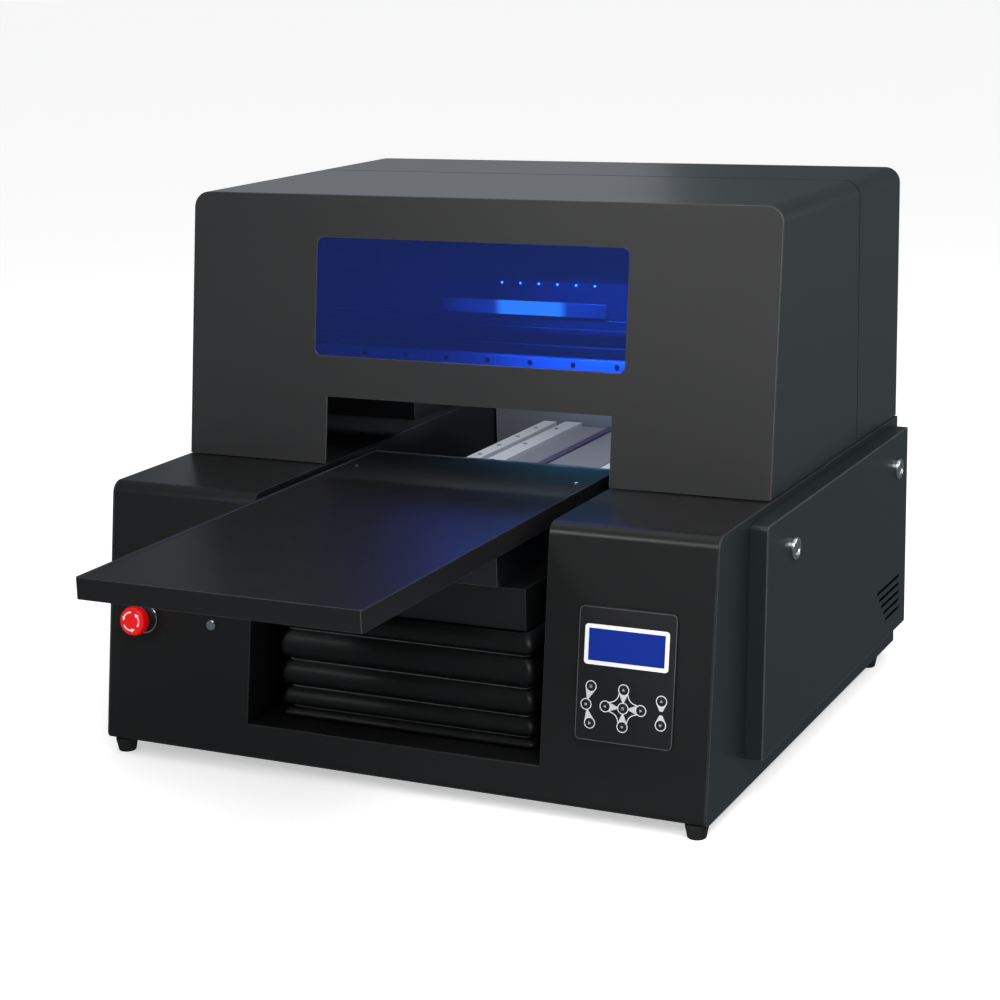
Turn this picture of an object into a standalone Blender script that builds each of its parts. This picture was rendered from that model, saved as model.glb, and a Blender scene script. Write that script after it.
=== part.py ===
"""Flatbed UV printer: cabinet, tilting hood, lifting bed with a sliding tray, and print carriage.

Metres, +Z up. The front of the machine faces -Y, and +X is on the right of someone facing it.
The origin lies on the standing surface, under the middle of the machine with its tray run out.
"""
import math

import bmesh
import bpy
from mathutils import Matrix, Vector

# Fits
GAP = 0.0003            # between pieces that touch
SLIDE = 0.0006          # between pieces that slide or turn in each other
SHEET = 0.002           # wall of folded sheet metal

# Cabinet
FOOT_H = 0.018
FOOT_R_TOP = 0.0135
FOOT_R_BASE = 0.011
FOOT_SETBACK = 0.0174   # front feet behind the cabinet's lower front edge
FOOT_REAR_Y = 0.472
FOOT_MARGIN = 0.0015    # between a foot and the side plate
FOOT_CHAMFER = 0.001
FOOT_PAD_SHARE = 0.7    # where the foot starts to taper
BASE_W = 0.792
BASE_H = 0.318
BASE_FRONT_Y = -0.2014  # front of the cabinet at its lower edge
BACK_Y = 0.541
BASE_LEAN = 0.150       # how far the front leans back for each metre of height
TOE_R = 0.008
SHOULDER_R = 0.016
TOE_DEPTH = 0.030

# Bay through the middle of the cabinet
BAY_ROOM = 0.0235       # beside the tray, on each side
BAY_FLOOR_RISE = 0.0428
BAY_BACK_Y = 0.512

# Hood
HOOD_INSET = 0.002      # of the hood's side inside the cabinet's
HOOD_H = 0.3325
HOOD_LIFT = 0.0015      # air between the hood's lower edge and the shoulders
HOOD_FRONT_Y = 0.0167
HOOD_LEAN = 0.132
HOOD_R = 0.020
HOOD_PLATE = 0.003
SEAM_Y = 0.358
SEAM_HALF = 0.0015
HINGE_R = 0.0009
MOUTH_H = 0.0840
WINDOW_W = 0.4205
WINDOW_RISE = 0.1345     # of the hood under the window
WINDOW_ROOM = 0.0518     # of the hood over the window
WINDOW_OFFSET = -0.0020
WINDOW_R = 0.009
PANE_T = 0.003
PANE_SET = 0.0004       # of the pane behind the hood's face

# Side covers
COVER_DEPTH = 0.022
COVER_FRONT_LOW_Y = -0.077
COVER_FRONT_TOP_Y = -0.059
COVER_BACK_Y = 0.515
COVER_LOW_Z = 0.0565
COVER_TOP_Z = 0.3275
VENTS = 5
VENT_PITCH = 0.0111
VENT_H = 0.005
VENT_LOW_Z = 0.0849
VENT_BACK_Y = 0.485
VENT_LONG = 0.106
VENT_STEP = 0.010
LOCK_YS = (0.032, 0.467)
LOCK_Z = 0.2805
LOCK_R = 0.0135
LOCK_BARREL_R = 0.009
LOCK_PROUD = 0.005
LOCK_CHAMFER = 0.0015
LOCK_TAIL = 0.016       # length of the barrel inside the cover

# Control panel, on the right shoulder's front
PANEL_X = 0.294
PANEL_Z = 0.1735
PANEL_W = 0.118
PANEL_H = 0.153
PANEL_R = 0.007
PANEL_T = 0.0015
PANEL_LAP = 0.006
LCD_Z = 0.2065
LCD_W = 0.1005
LCD_H = 0.0455
LCD_R = 0.004
LCD_BORDER = 0.0045
LCD_PROUD = 0.001
BUTTON_R = 0.005
BUTTON_PROUD = 0.0009
BUTTON_LEN = 0.005
LCD_DEPTH = 0.004
LCD_SINK = 0.0006       # of the glass below the frame round it
PAD_X = 0.2925
PAD_Z = 0.1388
PAD_ARM_X = 0.0213
PAD_ARM_Z = 0.0205
SIDE_KEY_X = 0.2533
MID_KEY_X = 0.2481
JOG_X = 0.3378
JOG_ARM_Z = 0.0132

# Stop button and key lock, on the left shoulder's front
STOP_X = -0.345
STOP_Z = 0.1725
STOP_HEAD_R = 0.018
STOP_STEM_R = 0.010
STOP_COLLAR_R = 0.0165
STOP_COLLAR_H = 0.008
STOP_HEAD_LOW = 0.0145
STOP_HEAD_TOP = 0.030
STOP_STEM_IN = 0.012    # length of the stem behind the face
BORE_L = 0.040          # length of the cutters that go through the front
KEY_X = -0.248
KEY_Z = 0.1745
KEY_R = 0.0065
KEY_BARREL_R = 0.0048
KEY_PROUD = 0.003
KEY_CHAMFER = 0.0008
KEY_LEN = 0.018
KEY_SLOT_L = 0.0080
KEY_SLOT_W = 0.0014
KEY_SLOT_DEPTH = 0.0018
KEY_SLOT_TURN = math.radians(-40)

# Bed
TRAY_W = 0.340
TRAY_L = 0.646
TRAY_H = 0.024
TRAY_TOP_Z = 0.339
TRAY_FRONT_Y = -0.543
TRAY_WALL = 0.003
TRAY_RIM = 0.0012
TRAY_PLATE = 0.004
RAIL_W = 0.020
RAIL_H = 0.0152
RAIL_X = 0.097
RAIL_FRONT_Y = -0.130
RAIL_BACK_Y = 0.490
YBASE_W = 0.244
YBASE_T = 0.006
YBASE_FRONT_Y = -0.145
YBASE_BACK_Y = 0.500
YBASE_TOP_Z = 0.290
PLATFORM_W = 0.310
PLATFORM_H = 0.050
PLATFORM_TOP_Z = 0.250
PLATFORM_FRONT_Y = -0.140
PLATFORM_BACK_Y = 0.140
PLATFORM_T = 0.003
SLIDER_W = 0.250
SLIDER_FRONT_Y = -0.100
SLIDER_BACK_Y = 0.080
SLIDER_LEG = 0.010
SLIDER_RISE = 0.005     # of its legs' feet above the rails' base
SLIDER_BRIDGE = 0.008
TRAY_CORNER_R = 0.004
RAIL_BEVEL = 0.001

# Lift
SCREW_X = 0.142
SCREW_R = 0.006
BELLOWS_W = 0.338
BELLOWS_FRONT_Y = -0.155
BELLOWS_BACK_Y = 0.155
BELLOWS_FOLDS = 5
BELLOWS_FOLD_IN = 0.012
BELLOWS_T = 0.001

# Gantry and carriage
BEAM_INSET = 0.026      # of the beam's end inside the cabinet's side
BEAM_FRONT_Y = 0.170
BEAM_T = 0.060
BEAM_LOW_Z = 0.420
BEAM_H = 0.090
POST_W = 0.030
XRAIL_INSET = 0.010     # of the rail's end inside the beam's
XRAIL_H = 0.015
XRAIL_T = 0.0145
XRAIL_Z = 0.455
BELT_Z = 0.487
BELT_R = 0.0103
BELT_T = 0.0015
BELT_W = 0.008
PULLEY_INSET = 0.035    # of a pulley's axis inside the beam's end
PULLEY_R = 0.010
PULLEY_SHAFT_R = 0.003
PULLEY_SLACK = 0.001    # of the pulley past the belt's edges
SHAFT_OUT = 0.006       # of the shaft behind the beam
BELT_STANDOFF = 0.003   # between the belt and the beam
MOTOR_BORE = 0.010
MOTOR_SIDE = 0.042
MOTOR_L = 0.048
CAR_X = 0.270
CAR_W = 0.140
CAR_FRONT_Y = 0.100
CAR_BACK_Y = 0.163
CAR_LOW_Z = 0.430
CAR_TOP_Z = 0.535
HEAD_W = 0.070
HEAD_FRONT_Y = 0.060
HEAD_BACK_Y = 0.140
HEAD_LOW_Z = 0.360
LAMP_W = 0.046
LAMP_LOW_Z = 0.363
HEAD_INSET = 0.006      # of the head inside the carriage, and between head and lamp
BELT_ROOM = 0.003       # between the belt and the carriage
HOUSING_BEVEL = 0.002

# Inks and rear fittings
INK_W = 0.150
INK_FRONT_Y = 0.300
INK_BACK_Y = 0.500
INK_H = 0.100
INK_X = -0.290
INK_TANKS = 6
INK_CAP_R = 0.012
INK_CAP_H = 0.012
FAN_SIDE = 0.080
FAN_DEPTH = 0.016
FAN_R = 0.036
FAN_X = 0.270
FAN_Z = 0.200
FAN_BLADES = 7
FAN_SPOKE_R = 0.024     # circle of the six openings in the fan's back
FAN_OPENING_R = 0.010
FAN_OPENINGS = 6
FAN_BACK = 0.003
FAN_HUB_R = 0.013
FAN_HUB_L = 0.009
FAN_TIP_ROOM = 0.003
FAN_CORNER_R = 0.004
FAN_SET = 0.0058        # of the rotor's middle inside the panel
INLET_W = 0.030
INLET_H = 0.062
INLET_DEPTH = 0.030
INLET_X = -0.300
INLET_Z = 0.090
ROCKER_W = 0.014
ROCKER_H = 0.020
ROCKER_TILT = math.radians(8)
ROCKER_RISE = 0.015     # of the rocker above the inlet's middle
ROCKER_POCKET = 0.012
ROCKER_ROOM = 0.002
ROCKER_BOW = 0.0010
ROCKER_DEPTH = 0.006
ROCKER_SET = 0.003
SOCKET_DROP = 0.014     # of the socket below the inlet's middle
SOCKET_W = 0.024
SOCKET_H = 0.020
SOCKET_DEPTH = 0.018
INLET_PROUD = 0.001

# Worked out from the sizes above
BAY_W = TRAY_W + 2 * BAY_ROOM
HOOD_W = BASE_W - 2 * HOOD_INSET
WINDOW_H = HOOD_H - WINDOW_RISE - WINDOW_ROOM
BEAM_W = BASE_W - 2 * BEAM_INSET
XRAIL_W = BEAM_W - 2 * XRAIL_INSET
BELT_PITCH_X = BEAM_W / 2 - PULLEY_INSET
BASE_LOW_Z = FOOT_H
DECK_Z = FOOT_H + BASE_H
SIDE_IN_X = BASE_W / 2 - SHEET
BAY_FLOOR_Z = BASE_LOW_Z + BAY_FLOOR_RISE
HOOD_LOW_Z = DECK_Z + HOOD_LIFT
HOOD_TOP_Z = HOOD_LOW_Z + HOOD_H
COVER_X = BASE_W / 2 + COVER_DEPTH
RAIL_Z = YBASE_TOP_Z + GAP
RAIL_TOP_Z = RAIL_Z + RAIL_H
TRAY_UNDER_Z = TRAY_TOP_Z - TRAY_RIM - TRAY_PLATE

COLOURS = {
    "cabinet": ((0.012, 0.012, 0.013), 0.38, 0.1),
    "hood": ((0.030, 0.030, 0.033), 0.42, 0.2),
    "dark": ((0.006, 0.006, 0.007), 0.55, 0.0),
    "rubber": ((0.010, 0.010, 0.010), 0.80, 0.0),
    "chrome": ((0.78, 0.78, 0.80), 0.15, 1.0),
    "aluminium": ((0.60, 0.61, 0.63), 0.35, 1.0),
    "steel": ((0.50, 0.50, 0.52), 0.30, 1.0),
    "window": ((0.01, 0.05, 0.45), 0.08, 0.0),
    "screen": ((0.012, 0.03, 0.28), 0.20, 0.0),
    "white": ((0.80, 0.80, 0.80), 0.45, 0.0),
    "red": ((0.65, 0.01, 0.01), 0.35, 0.0),
    "overlay": ((0.010, 0.010, 0.011), 0.60, 0.0),
    "tray": ((0.009, 0.009, 0.010), 0.40, 0.0),
}


def clear_scene():
    """Remove whatever the open file holds, objects and collections alike."""
    for old in list(bpy.data.objects):
        bpy.data.objects.remove(old, do_unlink=True)
    for old in list(bpy.data.collections):
        bpy.data.collections.remove(old)


def new_collection(name):
    group = bpy.data.collections.new(name)
    bpy.context.scene.collection.children.link(group)
    return group


clear_scene()
PARTS = new_collection("flatbed_uv_printer")
CUTTERS = new_collection("cutters")


def finish_material(name, finish):
    """A Principled material of the named finish, one for each part."""
    colour, roughness, metallic = COLOURS[finish]
    mat = bpy.data.materials.new(name)
    mat.use_nodes = True
    shader = mat.node_tree.nodes["Principled BSDF"]
    shader.inputs["Base Color"].default_value = (*colour, 1.0)
    shader.inputs["Roughness"].default_value = roughness
    shader.inputs["Metallic"].default_value = metallic
    return mat


def add_part(name, mesh, finish, matrix=None):
    mesh.materials.clear()
    mesh.materials.append(finish_material(name, finish))
    obj = bpy.data.objects.new(name, mesh)
    PARTS.objects.link(obj)
    if matrix is not None:
        obj.matrix_world = matrix
    return obj


def add_cutter(name, mesh, matrix=None):
    obj = bpy.data.objects.new(name, mesh)
    CUTTERS.objects.link(obj)
    obj.hide_render = True
    obj.display_type = "WIRE"
    if matrix is not None:
        obj.matrix_world = matrix
    return obj


def cut(obj, cutter, operation="DIFFERENCE"):
    mod = obj.modifiers.new(cutter.name, "BOOLEAN")
    mod.object = cutter
    mod.operation = operation
    mod.solver = "EXACT"


def mesh_of(bm, name):
    mesh = bpy.data.meshes.new(name)
    bm.to_mesh(mesh)
    bm.free()
    return mesh


def box_mesh(name, low, high):
    """A box between two corners, its mesh centred on its own origin, and where that origin goes."""
    low = Vector(low)
    high = Vector(high)
    bm = bmesh.new()
    bmesh.ops.create_cube(bm, size=1.0)
    bmesh.ops.scale(bm, vec=high - low, verts=bm.verts)
    return mesh_of(bm, name), Matrix.Translation((low + high) / 2)


def box(name, low, high, finish, bevel=0.0):
    mesh, place = box_mesh(name, low, high)
    obj = add_part(name, mesh, finish, place)
    if bevel:
        mod = obj.modifiers.new("edges", "BEVEL")
        mod.width = bevel
        mod.segments = 2
    return obj


def box_cutter(name, low, high, frame=None):
    mesh, place = box_mesh(name, low, high)
    return add_cutter(name, mesh, frame @ place if frame else place)


def rod_mesh(name, radius, length, segments):
    """A cylinder on local Z, from 0 up to its length."""
    bm = bmesh.new()
    bmesh.ops.create_cone(bm, cap_ends=True, segments=segments, radius1=radius, radius2=radius,
                          depth=length, matrix=Matrix.Translation((0, 0, length / 2)))
    mesh = mesh_of(bm, name)
    mesh.shade_smooth()
    mesh.set_sharp_from_angle(angle=math.radians(40))
    return mesh


def rod(name, radius, length, matrix, finish, segments=20):
    return add_part(name, rod_mesh(name, radius, length, segments), finish, matrix)


def rod_cutter(name, radius, length, matrix, segments=20):
    return add_cutter(name, rod_mesh(name, radius, length, segments), matrix)


def face_frame(edge_y, edge_z, lean):
    """Axes of a leaning front: local X across, local Y up the slope, local Z out of the face."""
    slope = math.hypot(1.0, lean)
    up = Vector((0, lean / slope, 1 / slope))
    out = Vector((0, -1 / slope, lean / slope))
    frame = Matrix.Identity(4)
    for row in range(3):
        frame[row][1] = up[row]
        frame[row][2] = out[row]
    frame.translation = (0, edge_y, edge_z)
    return frame


BASE_FACE = face_frame(BASE_FRONT_Y, BASE_LOW_Z, BASE_LEAN)
HOOD_FACE = face_frame(HOOD_FRONT_Y, HOOD_LOW_Z, HOOD_LEAN)
BASE_SLOPE = math.hypot(1.0, BASE_LEAN)
HOOD_SLOPE = math.hypot(1.0, HOOD_LEAN)


def on_base_face(x, z, out=0.0):
    """A frame on the cabinet's leaning front at a height above the floor, and a way out of it."""
    return BASE_FACE @ Matrix.Translation((x, (z - BASE_LOW_Z) * BASE_SLOPE, out))


def base_front_y(z):
    return BASE_FRONT_Y + BASE_LEAN * (z - BASE_LOW_Z)


def hood_front_y(z):
    return HOOD_FRONT_Y + HOOD_LEAN * (z - HOOD_LOW_Z)


def corner_arc(before, corner, after, radius, steps):
    """Points of the arc that rounds one corner of a flat path."""
    before, corner, after = Vector(before), Vector(corner), Vector(after)
    back = (before - corner).normalized()
    ahead = (after - corner).normalized()
    half = back.angle(ahead) / 2
    centre = corner + (back + ahead).normalized() * (radius / math.sin(half))
    start = corner + back * (radius / math.tan(half)) - centre
    sweep = start.angle_signed(corner + ahead * (radius / math.tan(half)) - centre)
    turns = [sweep * step / steps for step in range(steps + 1)]
    return [centre + Matrix.Rotation(-turn, 2) @ start for turn in turns]


def rounded(corners, radii, closed=True, steps=4):
    """A flat path with its corners rounded; a radius of 0 leaves a corner sharp."""
    count = len(corners)
    path = []
    for index, radius in enumerate(radii):
        end = not closed and index in (0, count - 1)
        if end or radius == 0:
            path.append(Vector(corners[index]))
        else:
            path += corner_arc(corners[index - 1], corners[index], corners[(index + 1) % count],
                               radius, steps)
    return path


def rectangle(width, height, radius=0.0, centre=(0.0, 0.0), steps=4):
    x, y = centre
    half_w, half_h = width / 2, height / 2
    corners = [(x - half_w, y - half_h), (x + half_w, y - half_h),
               (x + half_w, y + half_h), (x - half_w, y + half_h)]
    return rounded(corners, [radius] * 4, steps=steps)


def circle(radius, centre=(0.0, 0.0), segments=20):
    turns = [2 * math.pi * step / segments for step in range(segments)]
    return [Vector((centre[0] + radius * math.cos(t), centre[1] + radius * math.sin(t))) for t in turns]


def plate_mesh(name, loops, thickness):
    """A flat outline with holes, from a filled 2D curve, lying between local Z 0 and its thickness."""
    curve = bpy.data.curves.new(name, "CURVE")
    curve.dimensions = "2D"
    curve.fill_mode = "BOTH"
    curve.extrude = thickness / 2
    for loop in loops:
        spline = curve.splines.new("POLY")
        spline.points.add(len(loop) - 1)
        for point, place in zip(spline.points, loop):
            point.co = (place[0], place[1], 0, 1)
        spline.use_cyclic_u = True
    guide = bpy.data.objects.new(name, curve)
    CUTTERS.objects.link(guide)
    bpy.context.view_layer.update()
    flat = bpy.data.meshes.new_from_object(guide.evaluated_get(bpy.context.evaluated_depsgraph_get()))
    bpy.data.objects.remove(guide, do_unlink=True)
    bm = bmesh.new()
    bm.from_mesh(flat)
    bpy.data.meshes.remove(flat)
    bmesh.ops.remove_doubles(bm, verts=bm.verts, dist=0.00002)
    bmesh.ops.translate(bm, vec=(0, 0, thickness / 2), verts=bm.verts)
    bmesh.ops.recalc_face_normals(bm, faces=bm.faces)
    return mesh_of(bm, name)


def plate(name, loops, thickness, matrix, finish):
    return add_part(name, plate_mesh(name, loops, thickness), finish, matrix)


ALONG_X = Matrix(((0, 0, 1, 0), (1, 0, 0, 0), (0, 1, 0, 0), (0, 0, 0, 1)))
ALONG_Y = Matrix(((1, 0, 0, 0), (0, 0, -1, 0), (0, 1, 0, 0), (0, 0, 0, 1)))


def facing_x(x, y=0.0, z=0.0):
    """A frame whose local Z points to +X, with local X along Y and local Y up."""
    return Matrix.Translation((x, y, z)) @ ALONG_X


def facing_front(y, x=0.0, z=0.0):
    """A frame whose local Z points to -Y, with local X along X and local Y up."""
    return Matrix.Translation((x, y, z)) @ ALONG_Y


def sheet(name, rows, wall, finish, close_end=False):
    """Folded sheet: an open surface through rows of points, given its wall by Solidify."""
    bm = bmesh.new()
    made = [[bm.verts.new(point) for point in row] for row in rows]
    for near, far in zip(made, made[1:]):
        for a, b, c, d in zip(near, near[1:], far[1:], far):
            bm.faces.new((a, b, c, d))
    if close_end:
        bm.faces.new(made[-1])
    obj = add_part(name, mesh_of(bm, name), finish)
    mod = obj.modifiers.new("wall", "SOLIDIFY")
    mod.thickness = wall
    mod.offset = -1
    mod.use_even_offset = True
    return obj


def turned(name, profile, matrix, finish, segments=20):
    """A turned piece on local Z; the profile runs down its outer side from the axis to the axis."""
    bm = bmesh.new()
    points = [bm.verts.new((radius, 0, height)) for radius, height in profile]
    for upper, lower in zip(points, points[1:]):
        bm.edges.new((upper, lower))
    obj = add_part(name, mesh_of(bm, name), finish, matrix)
    mod = obj.modifiers.new("turn", "SCREW")
    mod.steps = segments
    mod.render_steps = segments
    mod.use_merge_vertices = True
    mod.merge_threshold = 0.00005
    mod.use_smooth_shade = True
    return obj


# Cabinet ---------------------------------------------------------------------------------------

def base_outline(last_y):
    """The cabinet's outer section in (y, z): toe, leaning front, shoulder and deck."""
    corners = [(BASE_FRONT_Y + TOE_DEPTH, BASE_LOW_Z), (BASE_FRONT_Y, BASE_LOW_Z),
               (base_front_y(DECK_Z), DECK_Z), (last_y, DECK_Z)]
    return rounded(corners, [0, TOE_R, SHOULDER_R, 0], closed=False)


def build_front_cover():
    half = SIDE_IN_X - GAP
    path = base_outline(BACK_Y)
    rows = [[(x, y, z) for y, z in path] for x in (half, -half)]
    cover = sheet("base_front_cover", rows, SHEET, "cabinet")
    cut(cover, box_cutter("cut_bay", (-BAY_W / 2, -1, BAY_FLOOR_Z), (BAY_W / 2, BAY_BACK_Y, 1)))
    opening = Matrix.Translation((0, 0, -BORE_L / 2))
    hole = rectangle(PANEL_W - 2 * PANEL_LAP, PANEL_H - 2 * PANEL_LAP)
    panel_cutter = add_cutter("cut_panel", plate_mesh("cut_panel", [hole], BORE_L),
                              on_base_face(PANEL_X, PANEL_Z) @ opening)
    cut(cover, panel_cutter)
    cut(cover, rod_cutter("cut_stop", STOP_STEM_R + SLIDE, BORE_L, on_base_face(STOP_X, STOP_Z) @ opening))
    cut(cover, rod_cutter("cut_key", KEY_BARREL_R + SLIDE, BORE_L, on_base_face(KEY_X, KEY_Z) @ opening))


def build_base_sides():
    corners = [(BASE_FRONT_Y, BASE_LOW_Z), (base_front_y(DECK_Z), DECK_Z),
               (BACK_Y, DECK_Z), (BACK_Y, BASE_LOW_Z)]
    outline = rounded(corners, [TOE_R, SHOULDER_R, 0, 0])
    for side, x in (("left", -BASE_W / 2), ("right", SIDE_IN_X)):
        plate(f"base_side_{side}", [outline], SHEET, facing_x(x), "cabinet")


def build_floor_and_back():
    half = SIDE_IN_X - GAP
    box("base_floor", (-half, BASE_FRONT_Y + TOE_DEPTH + GAP, BASE_LOW_Z),
        (half, BACK_Y - SHEET - GAP, BASE_LOW_Z + SHEET), "cabinet")
    height = DECK_Z - SHEET - GAP - BASE_LOW_Z
    holes = [circle(FAN_R, (FAN_X, FAN_Z - BASE_LOW_Z), 24),
             rectangle(INLET_W + 2 * SLIDE, INLET_H + 2 * SLIDE, 0, (INLET_X, INLET_Z - BASE_LOW_Z))]
    plate("base_rear_panel", [rectangle(2 * half, height, 0, (0, height / 2))] + holes, SHEET,
          facing_front(BACK_Y, 0, BASE_LOW_Z), "cabinet")


def liner_wall_path():
    """Front edge of the bay's side wall in (y, z), from its floor up and round inside the shoulder."""
    centre_z = DECK_Z - SHOULDER_R
    centre_y = base_front_y(centre_z) + SHOULDER_R * BASE_SLOPE
    radius = SHOULDER_R - SHEET - 2 * GAP
    low = BAY_FLOOR_Z - GAP - SHEET
    path = [(base_front_y(BAY_FLOOR_Z) + (SHEET + GAP) * BASE_SLOPE, low)]
    for step in range(5):
        turn = math.radians(20 * step)
        path.append((centre_y - radius * math.cos(turn), centre_z + radius * math.sin(turn)))
    return path


def build_bay_liner():
    """The channel that lines the bay: two walls and a floor, cut to the lean of the front."""
    half = BAY_W / 2 + GAP + SHEET
    edge = liner_wall_path()
    section = [(half, y, z) for y, z in reversed(edge)] + [(-half, y, z) for y, z in edge]
    sheet("bay_liner", [section, [(x, BAY_BACK_Y, z) for x, y, z in section]], SHEET, "dark")


def build_feet():
    places = {"front": BASE_FRONT_Y + FOOT_SETBACK, "rear": FOOT_REAR_Y}
    x = SIDE_IN_X - FOOT_R_TOP - FOOT_MARGIN
    profile = [(0, FOOT_H - GAP), (FOOT_R_TOP, FOOT_H - GAP), (FOOT_R_TOP, FOOT_H * FOOT_PAD_SHARE),
               (FOOT_R_BASE, FOOT_CHAMFER), (FOOT_R_BASE - FOOT_CHAMFER, 0), (0, 0)]
    for end, y in places.items():
        for side, sign in (("left", -1), ("right", 1)):
            turned(f"foot_{end}_{side}", profile, Matrix.Translation((sign * x, y, 0)), "rubber", 16)


# Side covers -----------------------------------------------------------------------------------

def cover_corners():
    return [(COVER_FRONT_LOW_Y, COVER_LOW_Z), (COVER_BACK_Y, COVER_LOW_Z),
            (COVER_BACK_Y, COVER_TOP_Z), (COVER_FRONT_TOP_Y, COVER_TOP_Z)]


def build_side_cover(side, sign):
    """A shallow pan hung on the cabinet's side, with stepped vents low at the back."""
    bm = bmesh.new()
    outer = [bm.verts.new((sign * COVER_X, y, z)) for y, z in cover_corners()]
    face = bm.faces.new(outer if sign > 0 else outer[::-1])
    rim = bmesh.ops.extrude_edge_only(bm, edges=face.edges)["geom"]
    moved = [item for item in rim if isinstance(item, bmesh.types.BMVert)]
    bmesh.ops.translate(bm, vec=(-sign * (COVER_DEPTH - GAP), 0, 0), verts=moved)
    bmesh.ops.recalc_face_normals(bm, faces=bm.faces)
    if face.normal.x * sign < 0:
        bmesh.ops.reverse_faces(bm, faces=bm.faces)
    cover = add_part(f"side_cover_{side}", mesh_of(bm, f"side_cover_{side}"), "cabinet")
    wall = cover.modifiers.new("wall", "SOLIDIFY")
    wall.thickness = SHEET
    wall.offset = -1
    wall.use_even_offset = True
    for row in range(VENTS):
        z = VENT_LOW_Z + row * VENT_PITCH
        front = VENT_BACK_Y - VENT_LONG + (VENTS - 1 - row) * VENT_STEP
        low = (sign * COVER_X - 0.01, front, z - VENT_H / 2)
        high = (sign * COVER_X + 0.01, VENT_BACK_Y, z + VENT_H / 2)
        cut(cover, box_cutter(f"cut_vent_{side}_{row}", low, high))
    for index, y in enumerate(LOCK_YS):
        hole = facing_x(sign * COVER_X - 0.01, y, LOCK_Z)
        cut(cover, rod_cutter(f"cut_lock_{side}_{index}", LOCK_BARREL_R + SLIDE, 0.02, hole, 16))


def build_locks(side, sign):
    """Quarter-turn locks: a thin flange outside, a barrel through the cover and a round tail."""
    profile = [(0, LOCK_PROUD), (LOCK_R - LOCK_CHAMFER, LOCK_PROUD), (LOCK_R, LOCK_PROUD - LOCK_CHAMFER),
               (LOCK_R, GAP), (LOCK_BARREL_R, GAP), (LOCK_BARREL_R, -LOCK_TAIL), (0, -LOCK_TAIL)]
    for end, y in zip(("front", "rear"), LOCK_YS):
        outward = facing_x(sign * COVER_X, y, LOCK_Z)
        if sign < 0:
            outward = outward @ Matrix.Rotation(math.pi, 4, "X")
        turned(f"cover_lock_{side}_{end}", profile, outward, "chrome", 16)


# Controls --------------------------------------------------------------------------------------

def button_places():
    """Names and (x, z) places of the ten keys: a side column, a cross pad and a jog pair."""
    return {
        "menu": (SIDE_KEY_X, PAD_Z + PAD_ARM_Z),
        "back": (MID_KEY_X, PAD_Z),
        "run": (SIDE_KEY_X, PAD_Z - PAD_ARM_Z),
        "in": (PAD_X, PAD_Z + PAD_ARM_Z),
        "left": (PAD_X - PAD_ARM_X, PAD_Z),
        "ok": (PAD_X, PAD_Z),
        "right": (PAD_X + PAD_ARM_X, PAD_Z),
        "out": (PAD_X, PAD_Z - PAD_ARM_Z),
        "up": (JOG_X, PAD_Z + JOG_ARM_Z),
        "down": (JOG_X, PAD_Z - JOG_ARM_Z),
    }


def on_panel(x, z):
    """A place on the control panel's own plane, counted from the panel's centre."""
    return (x - PANEL_X, (z - PANEL_Z) * BASE_SLOPE)


def build_control_panel():
    holes = [circle(BUTTON_R + SLIDE, on_panel(x, z), 16) for x, z in button_places().values()]
    holes.append(rectangle(LCD_W - 2 * LCD_BORDER + 2 * GAP, LCD_H - 2 * LCD_BORDER + 2 * GAP, 0,
                           on_panel(PANEL_X, LCD_Z)))
    loops = [rectangle(PANEL_W, PANEL_H, PANEL_R)] + holes
    plate("control_overlay", loops, PANEL_T, on_base_face(PANEL_X, PANEL_Z, GAP), "overlay")
    front = GAP + PANEL_T
    bezel = [rectangle(LCD_W, LCD_H, LCD_R), rectangle(LCD_W - 2 * LCD_BORDER, LCD_H - 2 * LCD_BORDER)]
    plate("lcd_bezel", bezel, LCD_PROUD, on_base_face(PANEL_X, LCD_Z, front + GAP), "white")
    glass = rectangle(LCD_W - 2 * LCD_BORDER - 2 * GAP, LCD_H - 2 * LCD_BORDER - 2 * GAP)
    back = front + GAP + LCD_PROUD - LCD_SINK - LCD_DEPTH
    plate("lcd_screen", [glass], LCD_DEPTH, on_base_face(PANEL_X, LCD_Z, back), "screen")
    for name, (x, z) in button_places().items():
        rod(f"button_{name}", BUTTON_R, BUTTON_LEN,
            on_base_face(x, z, front + BUTTON_PROUD - BUTTON_LEN), "overlay", 16)


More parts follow.
